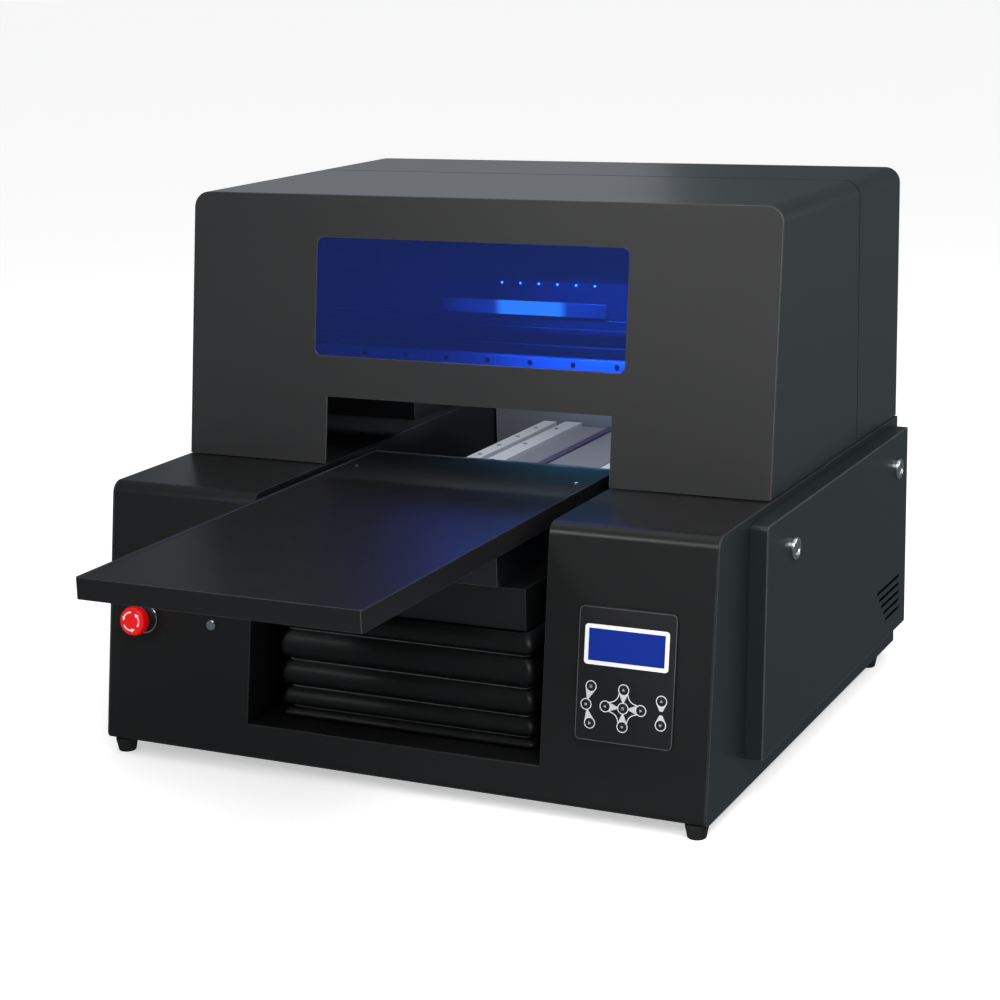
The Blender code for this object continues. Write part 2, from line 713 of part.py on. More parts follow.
def build_stop_and_key():
    collar = [circle(STOP_COLLAR_R, segments=24), circle(STOP_STEM_R + SLIDE, segments=20)]
    plate("stop_collar", collar, STOP_COLLAR_H, on_base_face(STOP_X, STOP_Z, GAP), "dark")
    stem = -STOP_STEM_IN
    head = [(0, STOP_HEAD_TOP), (STOP_HEAD_R * 0.6, STOP_HEAD_TOP - 0.0006),
            (STOP_HEAD_R * 0.9, STOP_HEAD_TOP - 0.0025), (STOP_HEAD_R, STOP_HEAD_TOP - 0.006),
            (STOP_HEAD_R, STOP_HEAD_LOW + 0.003), (STOP_HEAD_R * 0.9, STOP_HEAD_LOW),
            (STOP_STEM_R, STOP_HEAD_LOW), (STOP_STEM_R, stem), (0, stem)]
    turned("stop_button", head, on_base_face(STOP_X, STOP_Z), "red", 24)
    barrel = [(0, KEY_PROUD), (KEY_R - KEY_CHAMFER, KEY_PROUD), (KEY_R, KEY_PROUD - KEY_CHAMFER),
              (KEY_R, GAP), (KEY_BARREL_R, GAP), (KEY_BARREL_R, -KEY_LEN), (0, -KEY_LEN)]
    key = turned("key_lock", barrel, on_base_face(KEY_X, KEY_Z), "chrome", 16)
    slot = on_base_face(KEY_X, KEY_Z) @ Matrix.Rotation(KEY_SLOT_TURN, 4, "Z")
    low = (-KEY_SLOT_L / 2, -KEY_SLOT_W / 2, KEY_PROUD - KEY_SLOT_DEPTH)
    cut(key, box_cutter("cut_key_slot", low, (KEY_SLOT_L / 2, KEY_SLOT_W / 2, 2 * KEY_PROUD), slot))


# Hood ------------------------------------------------------------------------------------------

def hood_section():
    half = HOOD_W / 2
    corners = [(-half, HOOD_LOW_Z), (-half, HOOD_TOP_Z), (half, HOOD_TOP_Z), (half, HOOD_LOW_Z)]
    return rounded(corners, [0, HOOD_R, HOOD_R, 0], closed=False, steps=5)


def build_hood():
    section = hood_section()
    back_of_plate = (HOOD_PLATE + GAP) * HOOD_SLOPE
    rows = [[(x, hood_front_y(z) + back_of_plate, z) for x, z in section],
            [(x, SEAM_Y - SEAM_HALF, z) for x, z in section]]
    sheet("hood_lid_shell", rows, SHEET, "hood")
    rows = [[(x, y, z) for x, z in section] for y in (SEAM_Y + SEAM_HALF, BACK_Y)]
    sheet("hood_rear_cover", rows, SHEET, "hood", close_end=True)
    rod("lid_hinge_rod", HINGE_R, HOOD_W - 2 * HOOD_R,
        facing_x(HOOD_R - HOOD_W / 2, SEAM_Y, HOOD_TOP_Z - HINGE_R), "steel", 12)


def build_hood_front():
    """The hood's face plate, with its mouth for the tray and its window."""
    half = HOOD_W / 2
    height = HOOD_H * HOOD_SLOPE
    mouth = MOUTH_H * HOOD_SLOPE
    corners = [(-half, 0), (-BAY_W / 2, 0), (-BAY_W / 2, mouth), (BAY_W / 2, mouth),
               (BAY_W / 2, 0), (half, 0), (half, height), (-half, height)]
    outline = rounded(corners, [0, 0, 0, 0, 0, 0, HOOD_R, HOOD_R], steps=5)
    centre = (WINDOW_OFFSET, (WINDOW_RISE + WINDOW_H / 2) * HOOD_SLOPE)
    hole = rectangle(WINDOW_W, WINDOW_H * HOOD_SLOPE, WINDOW_R, centre)
    back = HOOD_FACE @ Matrix.Translation((0, 0, -HOOD_PLATE))
    plate("hood_front_plate", [outline, hole], HOOD_PLATE, back, "hood")
    pane = rectangle(WINDOW_W - 2 * GAP, WINDOW_H * HOOD_SLOPE - 2 * GAP, WINDOW_R - GAP, centre)
    plate("window_pane", [pane], PANE_T, HOOD_FACE @ Matrix.Translation((0, 0, -PANE_T - PANE_SET)),
          "window")


# Bed and lift ----------------------------------------------------------------------------------

def open_box(name, low, high, wall, finish):
    """A sheet box that is open underneath."""
    mesh, place = box_mesh(name, low, high)
    bm = bmesh.new()
    bm.from_mesh(mesh)
    under = min(bm.faces, key=lambda face: face.calc_center_median().z)
    bmesh.ops.delete(bm, geom=[under], context="FACES_ONLY")
    bm.to_mesh(mesh)
    bm.free()
    obj = add_part(name, mesh, finish, place)
    mod = obj.modifiers.new("wall", "SOLIDIFY")
    mod.thickness = wall
    mod.offset = -1
    mod.use_even_offset = True
    return obj


def build_tray():
    """The bed: a plate with a deep lip all round it and a fine rim above."""
    half = TRAY_W / 2
    back = TRAY_FRONT_Y + TRAY_L
    low = TRAY_TOP_Z - TRAY_H
    centre = (0, TRAY_FRONT_Y + TRAY_L / 2)
    tray = plate("bed_tray", [rectangle(TRAY_W, TRAY_L, TRAY_CORNER_R, centre, 3)], TRAY_H,
                 Matrix.Translation((0, 0, low)), "tray")
    inner_low = (TRAY_WALL - half, TRAY_FRONT_Y + TRAY_WALL)
    inner_high = (half - TRAY_WALL, back - TRAY_WALL)
    cut(tray, box_cutter("cut_tray_under", (*inner_low, low - 0.01), (*inner_high, TRAY_UNDER_Z)))
    rim_z = TRAY_TOP_Z - TRAY_RIM
    cut(tray, box_cutter("cut_tray_top", (*inner_low, rim_z), (*inner_high, TRAY_TOP_Z + 0.01)))


def build_tray_slider():
    """The saddle under the tray's rear half, with legs that straddle both rails."""
    low = RAIL_Z + GAP + SLIDER_RISE
    top = TRAY_UNDER_Z - GAP
    slider = box("tray_slider", (-SLIDER_W / 2, SLIDER_FRONT_Y, low), (SLIDER_W / 2, SLIDER_BACK_Y, top),
                 "aluminium")
    for side, sign in (("left", -1), ("right", 1)):
        x = sign * RAIL_X
        half = RAIL_W / 2 + SLIDE
        cut(slider, box_cutter(f"cut_rail_{side}", (x - half, -1, low - 0.01),
                               (x + half, 1, RAIL_TOP_Z + SLIDE)))
    hollow = RAIL_X - RAIL_W / 2 - SLIDE - SLIDER_LEG
    cut(slider, box_cutter("cut_slider", (-hollow, -1, low - 0.01), (hollow, 1, top - SLIDER_BRIDGE)))


def build_bed_base():
    half = YBASE_W / 2
    open_box("y_base", (-half, YBASE_FRONT_Y, PLATFORM_TOP_Z + GAP), (half, YBASE_BACK_Y, YBASE_TOP_Z),
             YBASE_T, "aluminium")
    for side, sign in (("left", -1), ("right", 1)):
        x = sign * RAIL_X
        box(f"y_rail_{side}", (x - RAIL_W / 2, RAIL_FRONT_Y, RAIL_Z),
            (x + RAIL_W / 2, RAIL_BACK_Y, RAIL_TOP_Z), "steel", RAIL_BEVEL)


def build_lift():
    half = PLATFORM_W / 2
    platform = open_box("lift_platform", (-half, PLATFORM_FRONT_Y, PLATFORM_TOP_Z - PLATFORM_H),
                        (half, PLATFORM_BACK_Y, PLATFORM_TOP_Z), PLATFORM_T, "dark")
    middle_y = (PLATFORM_FRONT_Y + PLATFORM_BACK_Y) / 2
    screw_low = BAY_FLOOR_Z
    length = PLATFORM_TOP_Z - screw_low
    for side, sign in (("left", -1), ("right", 1)):
        place = Matrix.Translation((sign * SCREW_X, middle_y, screw_low))
        cut(platform, rod_cutter(f"cut_screw_{side}", SCREW_R + SLIDE, 1, place, 16))
        rod(f"lift_screw_{side}", SCREW_R, length, place, "steel", 16)


def build_bellows():
    """The pleated skirt round the lift screws, from the bay floor to the platform."""
    low = BAY_FLOOR_Z
    high = PLATFORM_TOP_Z - PLATFORM_H - GAP
    steps = 2 * BELLOWS_FOLDS
    depth = BELLOWS_BACK_Y - BELLOWS_FRONT_Y
    middle = (BELLOWS_FRONT_Y + BELLOWS_BACK_Y) / 2
    rows = []
    for step in range(steps + 1):
        tuck = BELLOWS_FOLD_IN if step % 2 == 0 else 0.0
        half_w = BELLOWS_W / 2 - tuck
        half_d = depth / 2 - tuck
        z = low + (high - low) * step / steps
        rows.append([(-half_w, middle - half_d, z), (half_w, middle - half_d, z),
                     (half_w, middle + half_d, z), (-half_w, middle + half_d, z)])
    bm = bmesh.new()
    rings = [[bm.verts.new(point) for point in row] for row in rows]
    for lower, upper in zip(rings, rings[1:]):
        for side in range(4):
            after = (side + 1) % 4
            bm.faces.new((lower[side], lower[after], upper[after], upper[side]))
    skirt = add_part("lift_bellows", mesh_of(bm, "lift_bellows"), "rubber")
    mod = skirt.modifiers.new("wall", "SOLIDIFY")
    mod.thickness = BELLOWS_T
    mod.offset = -1


# Gantry ----------------------------------------------------------------------------------------

def build_gantry():
    """A beam on two posts that stand on the deck, with the X rail on its front."""
    half = BEAM_W / 2
    foot = DECK_Z + GAP - BEAM_LOW_Z
    outline = [(-half, foot), (POST_W - half, foot), (POST_W - half, 0), (half - POST_W, 0),
               (half - POST_W, foot), (half, foot), (half, BEAM_H), (-half, BEAM_H)]
    bores = [circle(PULLEY_SHAFT_R + SLIDE, (sign * BELT_PITCH_X, BELT_Z - BEAM_LOW_Z), 12)
             for sign in (-1, 1)]
    back = BEAM_FRONT_Y + BEAM_T
    plate("gantry_frame", [outline] + bores, BEAM_T, facing_front(back, 0, BEAM_LOW_Z), "dark")
    box("x_rail", (-XRAIL_W / 2, BEAM_FRONT_Y - GAP - XRAIL_T, XRAIL_Z - XRAIL_H / 2),
        (XRAIL_W / 2, BEAM_FRONT_Y - GAP, XRAIL_Z + XRAIL_H / 2), "steel", RAIL_BEVEL)


def stadium(radius, steps=8):
    """A closed path round both pulleys at a distance from their axes."""
    path = []
    for sign, start in ((1, -math.pi / 2), (-1, math.pi / 2)):
        for step in range(steps + 1):
            turn = start + math.pi * step / steps
            path.append(Vector((sign * BELT_PITCH_X + radius * math.cos(turn), radius * math.sin(turn))))
    return path


def build_x_drive():
    belt_back = BEAM_FRONT_Y - GAP - BELT_STANDOFF
    plate("x_belt", [stadium(BELT_R + BELT_T), stadium(BELT_R)], BELT_W,
          facing_front(belt_back, 0, BELT_Z), "rubber")
    shaft = BEAM_T + SHAFT_OUT
    rim = BELT_W + PULLEY_SLACK
    start = belt_back - rim
    profile = [(0, rim), (PULLEY_R, rim), (PULLEY_R, 0), (PULLEY_SHAFT_R, 0),
               (PULLEY_SHAFT_R, -shaft), (0, -shaft)]
    for name, sign in (("x_drive_pulley", 1), ("x_idler_pulley", -1)):
        place = facing_front(start + rim, sign * BELT_PITCH_X, BELT_Z)
        turned(name, profile, place, "aluminium", 16)
    back = BEAM_FRONT_Y + BEAM_T + GAP
    half = MOTOR_SIDE / 2
    motor = box("x_motor", (BELT_PITCH_X - half, back, BELT_Z - half),
                (BELT_PITCH_X + half, back + MOTOR_L, BELT_Z + half), "dark", HOUSING_BEVEL)
    bore = facing_front(back + MOTOR_BORE, BELT_PITCH_X, BELT_Z)
    cut(motor, rod_cutter("cut_motor", PULLEY_SHAFT_R + SLIDE, 2 * MOTOR_BORE, bore, 12))


def build_carriage():
    half = CAR_W / 2
    carriage = box("print_carriage", (CAR_X - half, CAR_FRONT_Y, CAR_LOW_Z),
                   (CAR_X + half, CAR_BACK_Y, CAR_TOP_Z), "dark")
    rail_face = BEAM_FRONT_Y - GAP - XRAIL_T - SLIDE
    cut(carriage, box_cutter("cut_x_rail", (-1, rail_face, XRAIL_Z - XRAIL_H / 2 - SLIDE),
                             (1, 1, XRAIL_Z + XRAIL_H / 2 + SLIDE)))
    reach = BELT_R + BELT_T + BELT_ROOM
    belt_face = BEAM_FRONT_Y - BELT_STANDOFF - BELT_W - PULLEY_SLACK - BELT_ROOM - PULLEY_SLACK
    cut(carriage, box_cutter("cut_x_belt", (-1, belt_face, BELT_Z - reach), (1, 1, BELT_Z + reach)))
    low = CAR_X - half + HEAD_INSET
    box("print_head", (low, HEAD_FRONT_Y, HEAD_LOW_Z),
        (low + HEAD_W, HEAD_BACK_Y, CAR_LOW_Z - GAP), "steel", HOUSING_BEVEL)
    lamp = low + HEAD_W + HEAD_INSET
    box("uv_lamp", (lamp, HEAD_FRONT_Y, LAMP_LOW_Z),
        (lamp + LAMP_W, HEAD_BACK_Y, CAR_LOW_Z - GAP), "aluminium", HOUSING_BEVEL)


# Inks and rear fittings ------------------------------------------------------------------------

def build_ink_rack():
    """The block of ink tanks behind the gantry, with a filler cap on each tank."""
    low_x = INK_X - INK_W / 2
    floor = DECK_Z + GAP
    rack = box("ink_tank_rack", (low_x, INK_FRONT_Y, floor), (low_x + INK_W, INK_BACK_Y, floor + INK_H),
               "dark")
    pitch = (INK_BACK_Y - INK_FRONT_Y) / (INK_TANKS / 2)
    for tank in range(INK_TANKS):
        x = INK_X + INK_W / 4 * (2 * (tank % 2) - 1)
        y = INK_FRONT_Y + pitch * (tank // 2 + 0.5)
        place = Matrix.Translation((x, y, floor + INK_H - INK_CAP_H))
        cap = rod_cutter(f"add_cap_{tank}", INK_CAP_R, 2 * INK_CAP_H, place, 12)
        cut(rack, cap, "UNION")


def build_fan():
    back = BACK_Y - SHEET - GAP
    frame = plate("fan_frame", [rectangle(FAN_SIDE, FAN_SIDE, FAN_CORNER_R, steps=2)], FAN_DEPTH,
                  facing_front(back, FAN_X, FAN_Z), "dark")
    cut(frame, rod_cutter("cut_fan", FAN_R, FAN_DEPTH, facing_front(back + FAN_BACK, FAN_X, FAN_Z), 24))
    for hole in range(FAN_OPENINGS):
        turn = 2 * math.pi * hole / FAN_OPENINGS
        x = FAN_X + FAN_SPOKE_R * math.cos(turn)
        z = FAN_Z + FAN_SPOKE_R * math.sin(turn)
        cut(frame, rod_cutter(f"cut_fan_{hole}", FAN_OPENING_R, 2 * FAN_DEPTH, facing_front(back, x, z), 12))
    bm = bmesh.new()
    bmesh.ops.create_cone(bm, cap_ends=True, segments=2 * FAN_BLADES, radius1=FAN_HUB_R,
                          radius2=FAN_HUB_R, depth=FAN_HUB_L)
    bm.faces.ensure_lookup_table()
    sides = [face for face in bm.faces if abs(face.normal.z) < 0.5]
    for face in sides[::2]:
        out = face.normal.copy()
        grown = bmesh.ops.extrude_face_region(bm, geom=[face])["geom"]
        tips = [item for item in grown if isinstance(item, bmesh.types.BMVert)]
        bmesh.ops.translate(bm, vec=out * (FAN_R - FAN_HUB_R - FAN_TIP_ROOM), verts=tips)
        bmesh.ops.delete(bm, geom=[face], context="FACES_ONLY")
    add_part("fan_rotor", mesh_of(bm, "fan_rotor"), "dark", facing_front(back - FAN_SET, FAN_X, FAN_Z))


def build_inlet():
    """The mains inlet with its rocker switch, set in the rear panel and open to the back."""
    front = BACK_Y - SHEET - INLET_DEPTH
    inlet = box("power_inlet", (INLET_X - INLET_W / 2, front, INLET_Z - INLET_H / 2),
                (INLET_X + INLET_W / 2, BACK_Y + INLET_PROUD, INLET_Z + INLET_H / 2), "dark")
    socket_z = INLET_Z - SOCKET_DROP
    low = (INLET_X - SOCKET_W / 2, BACK_Y - SOCKET_DEPTH, socket_z - SOCKET_H / 2)
    cut(inlet, box_cutter("cut_socket", low, (INLET_X + SOCKET_W / 2, BACK_Y + 1, socket_z + SOCKET_H / 2)))
    rocker_z = INLET_Z + ROCKER_RISE
    half_w = ROCKER_W / 2 + SLIDE
    half_h = ROCKER_H / 2 + ROCKER_ROOM
    cut(inlet, box_cutter("cut_rocker", (INLET_X - half_w, BACK_Y - ROCKER_POCKET, rocker_z - half_h),
                          (INLET_X + half_w, BACK_Y + 1, rocker_z + half_h)))
    half = ROCKER_H / 2
    outline = [(-ROCKER_DEPTH, -half / 2), (ROCKER_BOW, -half), (0, 0), (ROCKER_BOW, half),
               (-ROCKER_DEPTH, half / 2)]
    place = facing_x(INLET_X - ROCKER_W / 2, BACK_Y - ROCKER_SET, rocker_z)
    tilt = Matrix.Rotation(-ROCKER_TILT, 4, "Z")
    plate("power_rocker", [outline], ROCKER_W, place @ tilt, "red")


def main():
    build_front_cover()
    build_base_sides()
    build_floor_and_back()
    build_bay_liner()
    build_feet()
    for side, sign in (("left", -1), ("right", 1)):
        build_side_cover(side, sign)
        build_locks(side, sign)
    build_control_panel()
    build_stop_and_key()
    build_hood()
    build_hood_front()
    build_tray()
    build_tray_slider()
    build_bed_base()
    build_lift()
    build_bellows()
    build_gantry()
    build_x_drive()
    build_carriage()
    build_ink_rack()
    build_fan()
    build_inlet()
    bpy.context.view_layer.update()


main()
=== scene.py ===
"""Flatbed UV printer dressed for display: fine shells, controls, mechanism, finishes, light and camera."""
import logging
import math
from dataclasses import dataclass, field
from enum import Enum
from typing import Callable, Iterable, Sequence

import bmesh
import bpy
from mathutils import Matrix, Vector


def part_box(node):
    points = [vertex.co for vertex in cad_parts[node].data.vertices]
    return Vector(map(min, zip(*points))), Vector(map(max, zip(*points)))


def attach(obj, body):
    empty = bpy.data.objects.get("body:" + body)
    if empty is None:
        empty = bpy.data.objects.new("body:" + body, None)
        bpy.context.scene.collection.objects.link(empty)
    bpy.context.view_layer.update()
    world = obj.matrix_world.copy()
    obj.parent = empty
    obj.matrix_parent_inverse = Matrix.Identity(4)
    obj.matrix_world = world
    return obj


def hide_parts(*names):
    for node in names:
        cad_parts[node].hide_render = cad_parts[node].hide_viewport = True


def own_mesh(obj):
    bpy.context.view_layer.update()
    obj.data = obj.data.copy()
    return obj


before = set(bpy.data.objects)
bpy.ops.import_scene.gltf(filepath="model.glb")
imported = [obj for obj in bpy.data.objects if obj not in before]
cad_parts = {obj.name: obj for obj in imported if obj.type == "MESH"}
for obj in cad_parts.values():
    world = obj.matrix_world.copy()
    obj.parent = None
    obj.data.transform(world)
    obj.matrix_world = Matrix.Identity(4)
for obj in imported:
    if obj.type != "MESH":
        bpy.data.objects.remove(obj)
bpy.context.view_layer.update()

LOG = logging.getLogger("uv_printer")
HAIR = 0.00005          # the least a printed or inlaid mark stands off its surface

MERGE = 0.000005         # points closer than this are one
EDGE_MARK = "edge_mark"  # the face layer of bevelled edges, worn and lightened as a painted highlight
COAT_ROUGHNESS = 0.12
GRAIN_STRENGTH = 0.6
ACRYLIC_IOR = 1.49
RIPPLE_STRENGTH = 0.25
RIPPLE_HEIGHT = 0.0006
CORE_EDGE = (0.30, 0.42)  # where the brighter core of a painted reflection fades, as shares of the light's reach
FADE_POWER = 3.0

Colour = tuple[float, float, float]
DUST_COLOUR: Colour = (0.30, 0.29, 0.28)
FLOOR_COLOUR: Colour = (0.92, 0.92, 0.92)
FLOOR_GLOW = 0.475
Tree = bpy.types.NodeTree
Socket = bpy.types.NodeSocket
BMesh = bmesh.types.BMesh


class Body(Enum):
    """The bodies that pieces ride on."""

    BASE = "base"
    LID = "lid"
    LIFT = "lift"
    TRAY = "tray"
    CARRIAGE = "carriage"
    STOP = "stop"
    KEY = "key"
    ROCKER = "rocker"
    FAN = "fan"


class Symbol(Enum):
    """The marks on the keys."""

    BARS = "bars"
    SQUARE = "square"
    PLAY = "play"
    UP = "up"
    DOWN = "down"
    LEFT = "left"
    RIGHT = "right"


# Shader groups ---------------------------------------------------------------------------------

def shader_group(name: str, inputs: Sequence[tuple[str, str, object]],
                 outputs: Sequence[tuple[str, str]]) -> tuple[Tree, bpy.types.Node,
                                                              bpy.types.Node]:
    """Start a shader node group.

    Args:
        name: The group's name.
        inputs: Name, socket type and default of each input.
        outputs: Name and socket type of each output.

    Returns:
        The group's tree, its input node and its output node.
    """
    tree = bpy.data.node_groups.new(name, "ShaderNodeTree")
    for label, kind, default in inputs:
        socket = tree.interface.new_socket(name=label, in_out="INPUT", socket_type=kind)
        if default is not None:
            socket.default_value = default
    for label, kind in outputs:
        tree.interface.new_socket(name=label, in_out="OUTPUT", socket_type=kind)
    return tree, tree.nodes.new("NodeGroupInput"), tree.nodes.new("NodeGroupOutput")


def new_material(name: str) -> tuple[bpy.types.Material, Tree, bpy.types.Node, Socket]:
    """Start a node material.

    Args:
        name: The material's name.

    Returns:
        The material, its tree, its Principled shader and its Object coordinates.
    """
    mat = bpy.data.materials.new(name)
    mat.use_nodes = True
    place = mat.node_tree.nodes.new("ShaderNodeTexCoord")
    return mat, mat.node_tree, mat.node_tree.nodes["Principled BSDF"], place.outputs["Object"]


def add_bump(tree: Tree, shader: bpy.types.Node, height: Socket, strength: float,
             distance: float) -> None:
    """Raise a material's surface by a height."""
    bump = tree.nodes.new("ShaderNodeBump")
    bump.inputs["Strength"].default_value = strength
    bump.inputs["Distance"].default_value = distance
    tree.links.new(height, bump.inputs["Height"])
    tree.links.new(bump.outputs["Normal"], shader.inputs["Normal"])


def math_node(tree: Tree, operation: str, first: object, second: object,
              clamp: bool = False) -> Socket:
    """Add a Math node.

    Args:
        tree: The tree that gets the node.
        operation: The Math operation.
        first: A socket or a number.
        second: A socket or a number.
        clamp: Whether the result stays between 0 and 1.

    Returns:
        The node's output.
    """
    node = tree.nodes.new("ShaderNodeMath")
    node.operation = operation
    node.use_clamp = clamp
    for socket, value in zip(node.inputs, (first, second)):
        if isinstance(value, Socket):
            tree.links.new(value, socket)
        else:
            socket.default_value = value
    return node.outputs[0]


def noise_node(tree: Tree, vector: Socket, scale: object,
               detail: float) -> Socket:
    """Add a noise texture and return its value.

    Args:
        tree: The tree that gets the node.
        vector: The coordinates.
        scale: A socket or a number.
        detail: Octaves of noise.

    Returns:
        The noise value, between 0 and 1.
    """
    node = tree.nodes.new("ShaderNodeTexNoise")
    node.inputs["Detail"].default_value = detail
    tree.links.new(vector, node.inputs["Vector"])
    if isinstance(scale, Socket):
        tree.links.new(scale, node.inputs["Scale"])
    else:
        node.inputs["Scale"].default_value = scale
    return node.outputs["Fac"]


def build_mottle_group() -> Tree:
    """Slow changes of tone and gloss across a surface.

    Returns:
        A group from Vector, Colour, Scale, Amount and Roughness to Colour and Roughness.
    """
    tree, source, sink = shader_group(
        "slow_mottle",
        [("Vector", "NodeSocketVector", None), ("Colour", "NodeSocketColor", None),
         ("Scale", "NodeSocketFloat", 6.0), ("Amount", "NodeSocketFloat", 0.1),
         ("Roughness", "NodeSocketFloat", 0.4)],
        [("Colour", "NodeSocketColor"), ("Roughness", "NodeSocketFloat")])
    value = noise_node(tree, source.outputs["Vector"], source.outputs["Scale"], 4.0)
    centred = math_node(tree, "SUBTRACT", value, 0.5)
    swing = math_node(tree, "MULTIPLY", centred, source.outputs["Amount"])
    tone = tree.nodes.new("ShaderNodeHueSaturation")
    tree.links.new(source.outputs["Colour"], tone.inputs["Color"])
    tree.links.new(math_node(tree, "ADD", math_node(tree, "MULTIPLY", swing, 2.0), 1.0), tone.inputs["Value"])
    tree.links.new(tone.outputs["Color"], sink.inputs["Colour"])
    gloss = math_node(tree, "ADD", source.outputs["Roughness"], math_node(tree, "MULTIPLY", swing, 0.7), True)
    tree.links.new(gloss, sink.inputs["Roughness"])
    return tree


def build_grain_group() -> Tree:
    """Fine surface grain, such as powder coat or moulded plastic.

    Returns:
        A group from Vector, Scale and Depth to Height.
    """
    tree, source, sink = shader_group(
        "fine_grain",
        [("Vector", "NodeSocketVector", None), ("Scale", "NodeSocketFloat", 900.0),
         ("Depth", "NodeSocketFloat", 0.5)],
        [("Height", "NodeSocketFloat")])
    fine = noise_node(tree, source.outputs["Vector"], source.outputs["Scale"], 2.0)
    broad_scale = math_node(tree, "MULTIPLY", source.outputs["Scale"], 0.08)
    broad = noise_node(tree, source.outputs["Vector"], broad_scale, 2.0)
    mixed = math_node(tree, "ADD", fine, math_node(tree, "MULTIPLY", broad, 0.6))
    tree.links.new(math_node(tree, "MULTIPLY", mixed, source.outputs["Depth"]), sink.inputs["Height"])
    return tree


def build_edge_wear_and_highlight_group() -> Tree:
    """A mask of worn edges that also carry a painted highlight, from the mark that bevelled faces carry.

    Returns:
        A group from Vector and Amount to Mask.
    """
    tree, source, sink = shader_group(
        "edge_wear_and_painted_highlight",
        [("Vector", "NodeSocketVector", None), ("Amount", "NodeSocketFloat", 0.5)],
        [("Mask", "NodeSocketFloat")])
    mark = tree.nodes.new("ShaderNodeAttribute")
    mark.attribute_name = EDGE_MARK
    patch = noise_node(tree, source.outputs["Vector"], 45.0, 5.0)
    # Marked bevel faces lighten here: worn paint, and a painted highlight along the edges.
    worn_and_highlighted = math_node(tree, "MULTIPLY", mark.outputs["Fac"], math_node(tree, "ADD", patch, 0.35))
    mask = math_node(tree, "MULTIPLY", worn_and_highlighted, source.outputs["Amount"], True)
    tree.links.new(mask, sink.inputs["Mask"])
    return tree


def build_dust_group() -> Tree:
    """A mask of the light dust that settles on faces that look up.

    Returns:
        A group from Vector and Amount to Mask.
    """
    tree, source, sink = shader_group(
        "settled_dust",
        [("Vector", "NodeSocketVector", None), ("Amount", "NodeSocketFloat", 0.1)],
        [("Mask", "NodeSocketFloat")])
    shape = tree.nodes.new("ShaderNodeNewGeometry")
    split = tree.nodes.new("ShaderNodeSeparateXYZ")
    tree.links.new(shape.outputs["Normal"], split.inputs["Vector"])
    upward = math_node(tree, "MULTIPLY", split.outputs["Z"], 1.0, True)
    specks = noise_node(tree, source.outputs["Vector"], 30.0, 8.0)
    patchy = math_node(tree, "MULTIPLY", math_node(tree, "SUBTRACT", specks, 0.3, True), 1.6)
    mask = math_node(tree, "MULTIPLY", math_node(tree, "MULTIPLY", upward, patchy),
                     source.outputs["Amount"], True)
    tree.links.new(mask, sink.inputs["Mask"])
    return tree


GROUP_BUILDERS: dict[str, Callable[[], Tree]] = {
    "slow_mottle": build_mottle_group,
    "fine_grain": build_grain_group,
    "edge_wear_and_painted_highlight": build_edge_wear_and_highlight_group,
    "settled_dust": build_dust_group,
}


def add_group(tree: Tree, name: str, values: dict[str, object]) -> bpy.types.Node:
    """Place a shared group in a material.

    Args:
        tree: The material's tree.
        name: A key of GROUP_BUILDERS; the group is built the first time it is asked for.
        values: A socket or a constant for each named input.

    Returns:
        The group node.
    """
    node = tree.nodes.new("ShaderNodeGroup")
    node.node_tree = bpy.data.node_groups.get(name) or GROUP_BUILDERS[name]()
    for label, value in values.items():
        if isinstance(value, Socket):
            tree.links.new(value, node.inputs[label])
        else:
            node.inputs[label].default_value = value
    return node


# Finishes --------------------------------------------------------------------------------------

